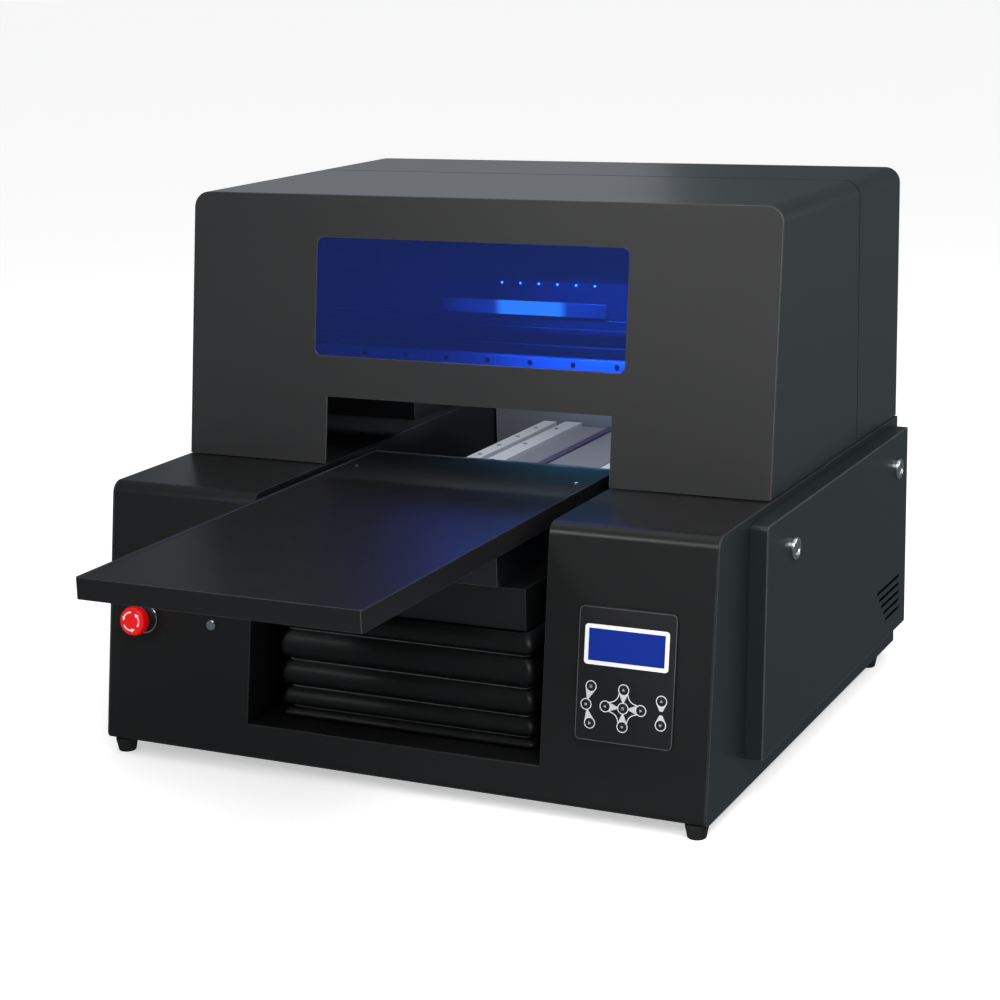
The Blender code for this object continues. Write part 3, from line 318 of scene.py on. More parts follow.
@dataclass(frozen=True)
class Finish:
    """An opaque finish: its colour and gloss, and how they wander over the surface.

    Attributes:
        name: The material's name.
        slot: The record's material slot that it stands for; it is not used.
        colour: Linear base colour.
        roughness: Mean roughness.
        metallic: 1 on bare metal.
        specular: Strength of the dielectric reflection.
        coat: Weight of a clear coat.
        mottle: How far tone and gloss wander.
        mottle_scale: Scale of that wandering.
        grain: Scale of the fine grain.
        grain_depth: Strength of the grain's bump.
        grain_height: Bump distance in metres.
        stretch: Scale of the coordinates, uneven for brushed or drawn surfaces.
        edge: How much the worn, highlighted edges show.
        edge_colour: Colour of the edges: partly worn paint, partly a painted highlight.
        dust: How much dust lies on faces that look up.
    """

    name: str
    slot: str
    colour: Colour
    roughness: float
    metallic: float = 0.0
    specular: float = 0.5
    coat: float = 0.0
    mottle: float = 0.10
    mottle_scale: float = 5.0
    grain: float = 900.0
    grain_depth: float = 0.5
    grain_height: float = 0.00004
    stretch: Colour = (1.0, 1.0, 1.0)
    edge: float = 0.35
    edge_colour: Colour = (0.12, 0.12, 0.13)
    dust: float = 0.02

    def build(self) -> bpy.types.Material:
        """Make the material.

        Returns:
            The node material, with its Principled shader in the material itself.
        """
        mat, tree, shader, place = new_material(self.name)
        mapping = tree.nodes.new("ShaderNodeMapping")
        mapping.inputs["Scale"].default_value = self.stretch
        tree.links.new(place, mapping.inputs["Vector"])
        vector = mapping.outputs["Vector"]
        tone = add_group(tree, "slow_mottle", {
            "Vector": vector, "Colour": (*self.colour, 1.0), "Scale": self.mottle_scale,
            "Amount": self.mottle, "Roughness": self.roughness})
        wear_and_highlight = add_group(tree, "edge_wear_and_painted_highlight", {"Vector": vector, "Amount": self.edge})
        dust = add_group(tree, "settled_dust", {"Vector": vector, "Amount": self.dust})
        # Edges take edge_colour: partly worn paint, partly a painted highlight.
        colour = mix_colours(tree, wear_and_highlight.outputs["Mask"], tone.outputs["Colour"], self.edge_colour)
        colour = mix_colours(tree, dust.outputs["Mask"], colour, DUST_COLOUR)
        tree.links.new(colour, shader.inputs["Base Color"])
        tree.links.new(tone.outputs["Roughness"], shader.inputs["Roughness"])
        shader.inputs["Metallic"].default_value = self.metallic
        shader.inputs["Specular IOR Level"].default_value = self.specular
        shader.inputs["Coat Weight"].default_value = self.coat
        shader.inputs["Coat Roughness"].default_value = COAT_ROUGHNESS
        grain = add_group(tree, "fine_grain", {
            "Vector": vector, "Scale": self.grain, "Depth": self.grain_depth})
        add_bump(tree, shader, grain.outputs["Height"], GRAIN_STRENGTH, self.grain_height)
        return mat


@dataclass(frozen=True)
class Acrylic:
    """Clear tinted acrylic.

    Attributes:
        name: The material's name.
        slot: The record's material slot; it is not used.
        colour: Linear tint.
        roughness: Surface roughness.
        transmission: How much light passes.
    """

    name: str
    slot: str
    colour: Colour
    roughness: float = 0.03
    transmission: float = 1.0

    def build(self) -> bpy.types.Material:
        """Make the material.

        Returns:
            A tinted, transmitting Principled material with faint ripples.
        """
        mat, tree, shader, place = new_material(self.name)
        tone = add_group(tree, "slow_mottle", {
            "Vector": place, "Colour": (*self.colour, 1.0), "Scale": 4.0,
            "Amount": 0.08, "Roughness": self.roughness})
        tree.links.new(tone.outputs["Colour"], shader.inputs["Base Color"])
        shader.inputs["Roughness"].default_value = self.roughness
        shader.inputs["Transmission Weight"].default_value = self.transmission
        shader.inputs["IOR"].default_value = ACRYLIC_IOR
        ripple = add_group(tree, "fine_grain", {
            "Vector": place, "Scale": 22.0, "Depth": 1.0})
        add_bump(tree, shader, ripple.outputs["Height"], RIPPLE_STRENGTH, RIPPLE_HEIGHT)
        return mat


@dataclass(frozen=True)
class Glow:
    """A lit surface, such as a display or a small lamp, or a glowing band that paints a reflection.

    Attributes:
        name: The material's name.
        slot: The record's material slot; it is not used.
        colour: Linear surface colour.
        light: Linear colour of the emitted light.
        strength: Emission strength.
        core: Linear colour of a brighter core, a painted highlight, or None for an even light.
        core_x: Where the core's middle is along X.
        core_reach: How far from that middle the light fades out.
    """

    name: str
    slot: str
    colour: Colour
    light: Colour
    strength: float
    core: Colour | None = None
    core_x: float = 0.0
    core_reach: float = 0.1

    def build(self) -> bpy.types.Material:
        """Make the material.

        Returns:
            An emitting Principled material whose light varies a little over it.
        """
        mat, tree, shader, place = new_material(self.name)
        tone = add_group(tree, "slow_mottle", {
            "Vector": place, "Colour": (*self.light, 1.0), "Scale": 14.0,
            "Amount": 0.10, "Roughness": 0.15})
        shader.inputs["Base Color"].default_value = (*self.colour, 1.0)
        tree.links.new(tone.outputs["Roughness"], shader.inputs["Roughness"])
        lit = tone.outputs["Colour"]
        if self.core is not None:
            lit = self.cored(tree, place, lit)
        tree.links.new(lit, shader.inputs["Emission Color"])
        shader.inputs["Emission Strength"].default_value = self.strength
        return mat

    def cored(self, tree: Tree, vector: Socket,
              lit: Socket) -> Socket:
        """Paint a highlight: brighten the light at its core, and fade it out at its ends.

        Args:
            tree: The material's tree.
            vector: The Object coordinates.
            lit: The light's colour.

        Returns:
            The colour of the light along X.
        """
        split = tree.nodes.new("ShaderNodeSeparateXYZ")
        tree.links.new(vector, split.inputs["Vector"])
        offset = math_node(tree, "SUBTRACT", split.outputs["X"], self.core_x)
        aside = math_node(tree, "ABSOLUTE", offset, 0.0)
        share = math_node(tree, "DIVIDE", aside, self.core_reach, True)
        inner = tree.nodes.new("ShaderNodeMapRange")
        inner.interpolation_type = "SMOOTHSTEP"
        for label, value in (("From Min", CORE_EDGE[0]), ("From Max", CORE_EDGE[1]),
                             ("To Min", 1.0), ("To Max", 0.0)):
            inner.inputs[label].default_value = value
        tree.links.new(share, inner.inputs["Value"])
        faded = tree.nodes.new("ShaderNodeHueSaturation")
        tree.links.new(lit, faded.inputs["Color"])
        kept = math_node(tree, "SUBTRACT", 1.0, math_node(tree, "POWER", share, FADE_POWER))
        tree.links.new(kept, faded.inputs["Value"])
        return mix_colours(tree, inner.outputs["Result"], faded.outputs["Color"], self.core)


def mix_colours(tree: Tree, mask: Socket, under: object,
                over: Colour) -> Socket:
    """Lay a colour over another by a mask.

    Args:
        tree: The material's tree.
        mask: Where the upper colour shows.
        under: The lower colour's socket.
        over: The upper colour.

    Returns:
        The mixed colour.
    """
    node = tree.nodes.new("ShaderNodeMix")
    node.data_type = "RGBA"
    tree.links.new(mask, node.inputs["Factor"])
    tree.links.new(under, node.inputs["A"])
    node.inputs["B"].default_value = (*over, 1.0)
    return node.outputs["Result"]


AnyFinish = Finish | Acrylic | Glow


class Palette:
    """Every finish of the machine, each built once when first asked for."""

    CABINET = Finish("cabinet_black", "cabinet_paint", (0.0085, 0.0087, 0.0090), 0.36, specular=0.30,
                     mottle=0.06, grain=1400.0, edge=0.30)
    # A lighter, green-tinted copy of the cabinet paint for the side plates and side covers: the lift and the
    # tint are painted sheen.
    SIDE_PAINTED_SHEEN = Finish("side_black_painted_sheen", "cabinet_paint", (0.012, 0.017, 0.018), 0.34, specular=0.40,
                  mottle=0.06, grain=1400.0, edge=0.30)
    # Two copies of one hood paint. The face plate's copy is lighter, a painted reflection, and its warm
    # edge_colour paints the highlight along its edges.
    HOOD_FACE_PAINTED_REFLECTION = Finish("hood_charcoal_painted_reflection", "hood_paint", (0.0245, 0.0245, 0.0253), 0.38, specular=0.50,
                  mottle=0.05, grain=1600.0, edge=0.45, edge_colour=(0.30, 0.27, 0.22))
    # The wrap's copy of the hood paint is tinted green: a painted sheen.
    HOOD_WRAP_PAINTED_SHEEN = Finish("hood_wrap_painted_sheen", "hood_paint", (0.016, 0.020, 0.021), 0.30, specular=0.50,
                       mottle=0.05, grain=1600.0, edge=0.45)
    INNER = Finish("inner_black", "inner_black", (0.0045, 0.0045, 0.0050), 0.55, specular=0.25,
                   edge=0.15)
    GANTRY = Finish("gantry_black", "gantry_black", (0.012, 0.013, 0.018), 0.34, specular=0.5,
                    stretch=(0.3, 1.0, 1.0))
    TRAY = Finish("tray_black", "tray_black", (0.0080, 0.0080, 0.0088), 0.42, specular=0.24,
                  mottle=0.10, grain=700.0, edge=0.3, edge_colour=(0.11, 0.11, 0.12), dust=0.012)
    RUBBER = Finish("soft_rubber", "rubber_black", (0.010, 0.010, 0.010), 0.72, specular=0.3,
                    mottle=0.15, grain=500.0, grain_height=0.0001, dust=0.05)
    BELLOWS = Finish("bellows_cloth", "rubber_black", (0.0042, 0.0045, 0.0048), 0.45, specular=0.3,
                     mottle=0.20, grain=1100.0, grain_depth=1.0, grain_height=0.00012, edge=0.3,
                     edge_colour=(0.05, 0.05, 0.055))
    STAY = Finish("bellows_stay", "rubber_black", (0.060, 0.061, 0.066), 0.30, mottle=0.30, mottle_scale=40.0,
                  edge=0.8, edge_colour=(0.20, 0.20, 0.21))
    CHROME = Finish("bright_chrome", "chrome", (0.82, 0.82, 0.84), 0.16, metallic=1.0, mottle=0.06,
                    grain_depth=0.1, edge=0.0, dust=0.0)
    ALUMINIUM = Finish("milled_aluminium", "aluminium", (0.62, 0.63, 0.66), 0.42, metallic=0.45,
                       mottle=0.12, mottle_scale=14.0, grain=320.0, stretch=(1.0, 0.08, 1.0),
                       grain_height=0.00003, edge=0.2, edge_colour=(0.85, 0.85, 0.87))
    RAIL = Finish("rail_steel", "steel", (0.80, 0.80, 0.82), 0.36, metallic=0.5, mottle=0.08,
                  grain=500.0, stretch=(1.0, 0.06, 1.0), grain_height=0.00002, edge=0.2,
                  edge_colour=(0.9, 0.9, 0.92))
    STEEL = Finish("ground_steel", "steel", (0.52, 0.53, 0.55), 0.22, metallic=1.0, mottle=0.10,
                   mottle_scale=20.0, grain=500.0, stretch=(1.0, 0.06, 1.0), grain_height=0.00002,
                   edge=0.2, edge_colour=(0.80, 0.80, 0.82))
    OVERLAY = Finish("keypad_film", "overlay", (0.0085, 0.0085, 0.0095), 0.50, specular=0.35,
                     mottle=0.08, grain=1800.0, edge=0.2)
    CAP = Finish("key_cap", "overlay", (0.010, 0.010, 0.011), 0.35, specular=0.5, edge=0.3)
    WHITE = Finish("white_plastic", "white_plastic", (0.74, 0.75, 0.78), 0.40, mottle=0.04,
                   edge=0.2, edge_colour=(0.85, 0.86, 0.88))
    MARK = Finish("printed_white", "white_plastic", (0.62, 0.63, 0.66), 0.50, mottle=0.05, edge=0.0)
    SILVER_PRINT = Finish("printed_silver", "white_plastic", (0.50, 0.50, 0.51), 0.50, mottle=0.05, edge=0.0)
    LEGEND = Finish("printed_legend", "white_plastic", (0.30, 0.30, 0.32), 0.50, mottle=0.05, edge=0.0)
    LINE = Finish("printed_grey", "white_plastic", (0.085, 0.085, 0.09), 0.50, mottle=0.05, edge=0.0)
    RED = Finish("stop_red", "red_plastic", (0.70, 0.0010, 0.0015), 0.34, specular=0.25, mottle=0.05,
                 grain_depth=0.2, edge=0.25, edge_colour=(0.85, 0.10, 0.08))
    BLACK = Finish("moulded_black", "black_plastic", (0.010, 0.010, 0.011), 0.45, grain=700.0,
                   edge=0.3)
    PLATE = Finish("anodised_grey", "aluminium", (0.22, 0.22, 0.25), 0.38, metallic=0.3, mottle=0.10,
                   grain=500.0, stretch=(1.0, 0.1, 1.0), edge=0.3, edge_colour=(0.6, 0.6, 0.62))
    BELT = Finish("drive_belt", "rubber_black", (0.035, 0.025, 0.075), 0.55, grain=900.0, edge=0.4,
                  edge_colour=(0.25, 0.22, 0.45))
    LINER = Finish("liner_black", "inner_black", (0.0060, 0.0062, 0.0070), 0.33, specular=0.5, edge=0.25)
    PLATFORM = Finish("platform_grey", "inner_black", (0.0065, 0.0075, 0.0085), 0.42, edge=0.3,
                      edge_colour=(0.08, 0.08, 0.09))
    BRASS = Finish("contact_brass", "chrome", (0.72, 0.60, 0.35), 0.30, metallic=1.0, edge=0.0)
    WINDOW = Acrylic("blue_window", "blue_acrylic", (0.055, 0.14, 0.84), transmission=0.92)
    LCD = Glow("display_blue", "lcd_blue", (0.002, 0.010, 0.12), (0.003, 0.020, 0.19), 0.72)
    LAMP = Glow("lamp_blue", "lcd_blue", (0.05, 0.2, 0.6), (0.10, 0.55, 1.0), 14.0)
    # A glowing band with a bright core that is no lamp: a painted reflection of blue light on the beam.
    PAINTED_REFLECTION_STRIP = Glow("painted_reflection_strip", "lcd_blue", (0.012, 0.014, 0.018), (0.06, 0.20, 0.34), 1.0,
                      (0.50, 1.75, 1.30), 0.026, 0.126)

    _made: dict[str, bpy.types.Material] = {}

    @classmethod
    def material(cls, finish: AnyFinish) -> bpy.types.Material:
        """Return the finish's material, made once."""
        if finish.name not in cls._made:
            cls._made[finish.name] = finish.build()
        return cls._made[finish.name]


# Shapes ----------------------------------------------------------------------------------------

def used_up(name: str, bm: BMesh) -> bpy.types.Mesh:
    """A mesh block made from a working mesh, which is used up."""
    mesh = bpy.data.meshes.new(name)
    bm.to_mesh(mesh)
    bm.free()
    return mesh


def placed(name: str, data: bpy.types.ID) -> bpy.types.Object:
    """A new object in the scene."""
    obj = bpy.data.objects.new(name, data)
    bpy.context.scene.collection.objects.link(obj)
    return obj


def settled(obj: bpy.types.Object) -> bpy.types.Mesh:
    """An object's mesh with its modifiers applied."""
    bpy.context.view_layer.update()
    return bpy.data.meshes.new_from_object(obj.evaluated_get(bpy.context.evaluated_depsgraph_get()))


def evaluated(obj: bpy.types.Object) -> BMesh:
    """A helper object's working mesh with its modifiers applied; the helper is removed."""
    mesh = settled(obj)
    bpy.data.objects.remove(obj, do_unlink=True)
    bm = bmesh.new()
    bm.from_mesh(mesh)
    bpy.data.meshes.remove(mesh)
    return bm


def merge(bm: BMesh) -> None:
    """Merge points that lie together."""
    bmesh.ops.remove_doubles(bm, verts=bm.verts, dist=MERGE)


def bevel_edges(bm: BMesh, edges: Sequence[bmesh.types.BMEdge], width: float,
                segments: int, mark: bool = True) -> None:
    """Round edges, and mark the new faces as worn edges that carry a painted highlight.

    Args:
        bm: The mesh.
        edges: The edges to round.
        width: How far the rounding reaches.
        segments: Steps of the rounding.
        mark: Whether the new faces count as worn edges with a painted highlight.
    """
    layer = bm.faces.layers.float.get(EDGE_MARK) or bm.faces.layers.float.new(EDGE_MARK)
    made = bmesh.ops.bevel(bm, geom=list(edges), offset=width, segments=segments, profile=0.5,
                           affect="EDGES", material=-1, clamp_overlap=True)
    if mark:
        for face in made["faces"]:
            face[layer] = 1.0


def sharp_edges(bm: BMesh, degrees: float = 30.0) -> list[bmesh.types.BMEdge]:
    """Edges between two faces that meet at more than an angle."""
    limit = math.radians(degrees)
    return [edge for edge in bm.edges if len(edge.link_faces) == 2 and edge.calc_face_angle(0.0) > limit]


def soften(bm: BMesh, width: float, segments: int = 2, degrees: float = 30.0) -> None:
    """Round every sharp edge of a mesh."""
    bevel_edges(bm, sharp_edges(bm, degrees), width, segments)


def block(low: Sequence[float], high: Sequence[float]) -> BMesh:
    """A box between two corners."""
    low, high = Vector(low), Vector(high)
    bm = bmesh.new()
    bmesh.ops.create_cube(bm, size=1.0)
    bmesh.ops.scale(bm, vec=high - low, verts=bm.verts)
    bmesh.ops.translate(bm, vec=(low + high) / 2, verts=bm.verts)
    return bm


def drum(radius: float, length: float, segments: int = 32) -> BMesh:
    """A cylinder on local Z, from 0 up to its length."""
    bm = bmesh.new()
    bmesh.ops.create_cone(bm, cap_ends=True, segments=segments, radius1=radius, radius2=radius,
                          depth=length, matrix=Matrix.Translation((0, 0, length / 2)))
    return bm


def spun(profile: Sequence[tuple[float, float]], steps: int = 48) -> BMesh:
    """A turned shape on local Z.

    Args:
        profile: (radius, height) points, from the axis round the outside and back to the axis.
        steps: Steps round the axis.

    Returns:
        A closed turned mesh.
    """
    bm = bmesh.new()
    verts = [bm.verts.new((radius, 0, height)) for radius, height in profile]
    edges = [bm.edges.new(pair) for pair in zip(verts, verts[1:])]
    bmesh.ops.spin(bm, geom=verts + edges, cent=(0, 0, 0), axis=(0, 0, 1), angle=2 * math.pi,
                   steps=steps, use_merge=True, use_normal_flip=False)
    merge(bm)
    bmesh.ops.recalc_face_normals(bm, faces=bm.faces)
    return bm


def corner_arc(before: Vector, corner: Vector, after: Vector, radius: float,
               steps: int) -> list[Vector]:
    """Points of the arc that rounds a flat path's corner."""
    back = (before - corner).normalized()
    ahead = (after - corner).normalized()
    half = back.angle(ahead) / 2
    centre = corner + (back + ahead).normalized() * (radius / math.sin(half))
    start = corner + back * (radius / math.tan(half)) - centre
    sweep = start.angle_signed(corner + ahead * (radius / math.tan(half)) - centre)
    return [centre + Matrix.Rotation(-sweep * step / steps, 2) @ start for step in range(steps + 1)]


def rounded(corners: Sequence[tuple[float, float]], radii: Sequence[float], steps: int = 10) -> list[Vector]:
    """A closed flat path with rounded corners.

    Args:
        corners: The path's corners in order.
        radii: A radius for each corner, 0 for a sharp one.
        steps: Steps of each arc.

    Returns:
        The path's points.
    """
    points = [Vector(corner) for corner in corners]
    path: list[Vector] = []
    for index, radius in enumerate(radii):
        if radius == 0:
            path.append(points[index])
        else:
            after = points[(index + 1) % len(points)]
            path += corner_arc(points[index - 1], points[index], after, radius, steps)
    return path


def rectangle(width: float, height: float, radius: float = 0.0, centre: tuple[float, float] = (0.0, 0.0),
              steps: int = 10) -> list[Vector]:
    """A rectangle's path, with one radius at all its corners."""
    x, y = centre
    half_w, half_h = width / 2, height / 2
    corners = [(x - half_w, y - half_h), (x + half_w, y - half_h),
               (x + half_w, y + half_h), (x - half_w, y + half_h)]
    return rounded(corners, [radius] * 4, steps)


def ring(radius: float, centre: tuple[float, float] = (0.0, 0.0), steps: int = 40) -> list[Vector]:
    """A circle's path."""
    turns = [2 * math.pi * step / steps for step in range(steps)]
    return [Vector((centre[0] + radius * math.cos(t), centre[1] + radius * math.sin(t))) for t in turns]


def plate(loops: Sequence[Sequence[Vector]], thickness: float, bevel: float = 0.0,
          segments: int = 2) -> BMesh:
    """A flat outline with holes, lying between local Z 0 and its thickness.

    Args:
        loops: The outline, and the outlines of its holes.
        thickness: The plate's thickness.
        bevel: Rounding of its rims, 0 for none.
        segments: Steps of that rounding.

    Returns:
        A closed mesh.
    """
    curve = bpy.data.curves.new("outline", "CURVE")
    curve.dimensions = "2D"
    curve.fill_mode = "BOTH"
    curve.extrude = thickness / 2
    for loop in loops:
        spline = curve.splines.new("POLY")
        spline.points.add(len(loop) - 1)
        for point, place in zip(spline.points, loop):
            point.co = (place[0], place[1], 0, 1)
        spline.use_cyclic_u = True
    bm = evaluated(placed("outline", curve))
    bpy.data.curves.remove(curve)
    merge(bm)
    bmesh.ops.recalc_face_normals(bm, faces=bm.faces)
    bmesh.ops.translate(bm, vec=(0, 0, thickness / 2), verts=bm.verts)
    bmesh.ops.dissolve_limit(bm, angle_limit=math.radians(0.2), verts=bm.verts, edges=bm.edges)
    if bevel:
        soften(bm, bevel, segments)
    return bm


def moved(bm: BMesh, matrix: Matrix) -> BMesh:
    """The mesh in another frame."""
    bmesh.ops.transform(bm, matrix=matrix, verts=bm.verts)
    return bm


def joined(parts: Iterable[BMesh]) -> BMesh:
    """Several meshes in one, kept as separate shells."""
    whole = bmesh.new()
    whole.faces.layers.float.new(EDGE_MARK)
    for part in parts:
        mesh = used_up("part", part)
        whole.from_mesh(mesh)
        bpy.data.meshes.remove(mesh)
    return whole


def carved(bm: BMesh, cutters: Iterable[BMesh]) -> BMesh:
    """A mesh with others cut out of it.

    Args:
        bm: The mesh to cut, which is used up.
        cutters: Closed meshes to take away, which are used up.

    Returns:
        The cut mesh.
    """
    body = placed("carved", used_up("carved", bm))
    tools = []
    for number, cutter in enumerate(cutters):
        tool = placed(f"tool_{number}", used_up(f"tool_{number}", cutter))
        step = body.modifiers.new(tool.name, "BOOLEAN")
        step.object = tool
        step.solver = "EXACT"
        tools.append(tool)
    out = evaluated(body)
    for tool in tools:
        bpy.data.objects.remove(tool, do_unlink=True)
    merge(out)
    return out


def cad_copy(node: str) -> BMesh:
    """A merged copy of a CAD node's mesh, with its flat faces whole again."""
    bm = bmesh.new()
    bm.from_mesh(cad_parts[node].data)
    merge(bm)
    bmesh.ops.dissolve_limit(bm, angle_limit=math.radians(0.3), verts=bm.verts, edges=bm.edges)
    return bm


def flatten_broad_faces(obj: bpy.types.Object) -> None:
    """Let broad faces lead the shading, so that they stay flat up to their rounded edges."""
    step = obj.modifiers.new("broad_faces", "WEIGHTED_NORMAL")
    step.keep_sharp = True
    mesh = settled(obj)
    mesh.name = obj.name
    obj.modifiers.clear()
    obj.data = mesh


def add_piece(name: str, bm: BMesh, finish: AnyFinish, body: Body | str,
              replaces: Sequence[str] = (), smooth: float = 50.0) -> bpy.types.Object:
    """Put a finished piece in the scene.

    Args:
        name: The piece's name.
        bm: Its mesh in the machine's frame, which is used up.
        finish: Its finish.
        body: The body it rides on.
        replaces: The CAD nodes it stands for.
        smooth: Faces that meet at less than this angle are shaded as one surface.

    Returns:
        The piece's object.
    """
    mesh = used_up(name, bm)
    mesh.materials.append(Palette.material(finish))
    mesh.shade_smooth()
    mesh.set_sharp_from_angle(angle=math.radians(smooth))
    obj = placed(name, mesh)
    flatten_broad_faces(obj)
    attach(obj, body.value if isinstance(body, Body) else body)
    if replaces:
        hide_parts(*replaces)
    LOG.info("%s: %d faces, rides on %s", name, len(mesh.polygons), body)
    return obj


def refine(node: str, finish: AnyFinish, body: Body | str, bevel: float = 0.0006,
           segments: int = 2) -> bpy.types.Object:
    """Stand a softened copy of a CAD node in for it."""
    bm = cad_copy(node)
    if bevel:
        soften(bm, bevel, segments)
    return add_piece(f"{node}_fine", bm, finish, body, [node])


def face_frame(edge: Vector, lean: float) -> Matrix:
    """Axes of a leaning front: local X across, local Y up the slope, local Z out of the face.

    Args:
        edge: A point on the front's lower edge.
        lean: How far the front leans back for each metre of height.

    Returns:
        The frame, with its origin at the edge point.
    """
    slope = math.hypot(1.0, lean)
    columns = (Vector((1, 0, 0)), Vector((0, lean / slope, 1 / slope)), Vector((0, -1 / slope, lean / slope)))
    matrix = Matrix([[column[row] for column in columns] + [edge[row]] for row in range(3)] + [[0, 0, 0, 1]])
    return matrix


def cap_screw(radius: float, height: float, socket: float) -> BMesh:
    """A socket-head screw's head on local Z, with its round recess.

    Args:
        radius: The head's radius.
        height: The head's height.
        socket: The recess's radius.

    Returns:
        The head.
    """
    bm = drum(radius, height, 20)
    top = max(bm.faces, key=lambda face: face.calc_center_median().z)
    bmesh.ops.inset_region(bm, faces=[top], thickness=radius - socket, use_even_offset=True)
    bmesh.ops.translate(bm, vec=(0, 0, -height * 0.55), verts=top.verts)
    walls = bmesh.ops.extrude_face_region(bm, geom=[top])["geom"]
    bmesh.ops.delete(bm, geom=[top], context="FACES")
    lifted = [item for item in walls if isinstance(item, bmesh.types.BMVert)]
    bmesh.ops.translate(bm, vec=(0, 0, height * 0.05), verts=lifted)
    return bm


def thickened(bm: BMesh, wall: float) -> BMesh:
    """Sheet metal: a surface given a wall on its inner side.

    Args:
        bm: An open surface whose normals face outward, which is used up.
        wall: The sheet's thickness.

    Returns:
        A closed mesh.
    """
    obj = placed("sheet", used_up("sheet", bm))
    mod = obj.modifiers.new("wall", "SOLIDIFY")
    mod.thickness = wall
    mod.offset = -1
    mod.use_even_offset = True
    return evaluated(obj)


def drawn(path: Sequence[Vector], shift: Vector) -> BMesh:
    """An open surface: a path drawn out along a straight line."""
    bm = bmesh.new()
    verts = [bm.verts.new(point) for point in path]
    edges = [bm.edges.new(pair) for pair in zip(verts, verts[1:])]
    made = bmesh.ops.extrude_edge_only(bm, edges=edges)["geom"]
    far = [item for item in made if isinstance(item, bmesh.types.BMVert)]
    bmesh.ops.translate(bm, vec=shift, verts=far)
    return bm


def face_out(bm: BMesh, inside: Sequence[float]) -> None:
    """Turn every face of an open shell away from a point inside it."""
    bm.normal_update()
    middle = Vector(inside)
    wrong = [face for face in bm.faces if face.normal.dot(face.calc_center_median() - middle) < 0]
    bmesh.ops.reverse_faces(bm, faces=wrong)


def slice_at(bm: BMesh, place: Sequence[float], normal: Sequence[float]) -> None:
    """Cut a mesh's faces along a plane, and keep both sides."""
    geom = list(bm.verts) + list(bm.edges) + list(bm.faces)
    bmesh.ops.bisect_plane(bm, geom=geom, plane_co=place, plane_no=normal)


def repaint(node: str, finish: AnyFinish) -> None:
    """Give a CAD node that stays in view one of the finishes."""
    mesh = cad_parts[node].data
    mesh.materials.clear()
    mesh.materials.append(Palette.material(finish))


FACING_X = Matrix(((0, 0, 1, 0), (1, 0, 0, 0), (0, 1, 0, 0), (0, 0, 0, 1)))
FACING_FRONT = Matrix(((1, 0, 0, 0), (0, 0, -1, 0), (0, 1, 0, 0), (0, 0, 0, 1)))
FACING_BACK = Matrix(((-1, 0, 0, 0), (0, 0, 1, 0), (0, 1, 0, 0), (0, 0, 0, 1)))


# Cabinet ---------------------------------------------------------------------------------------

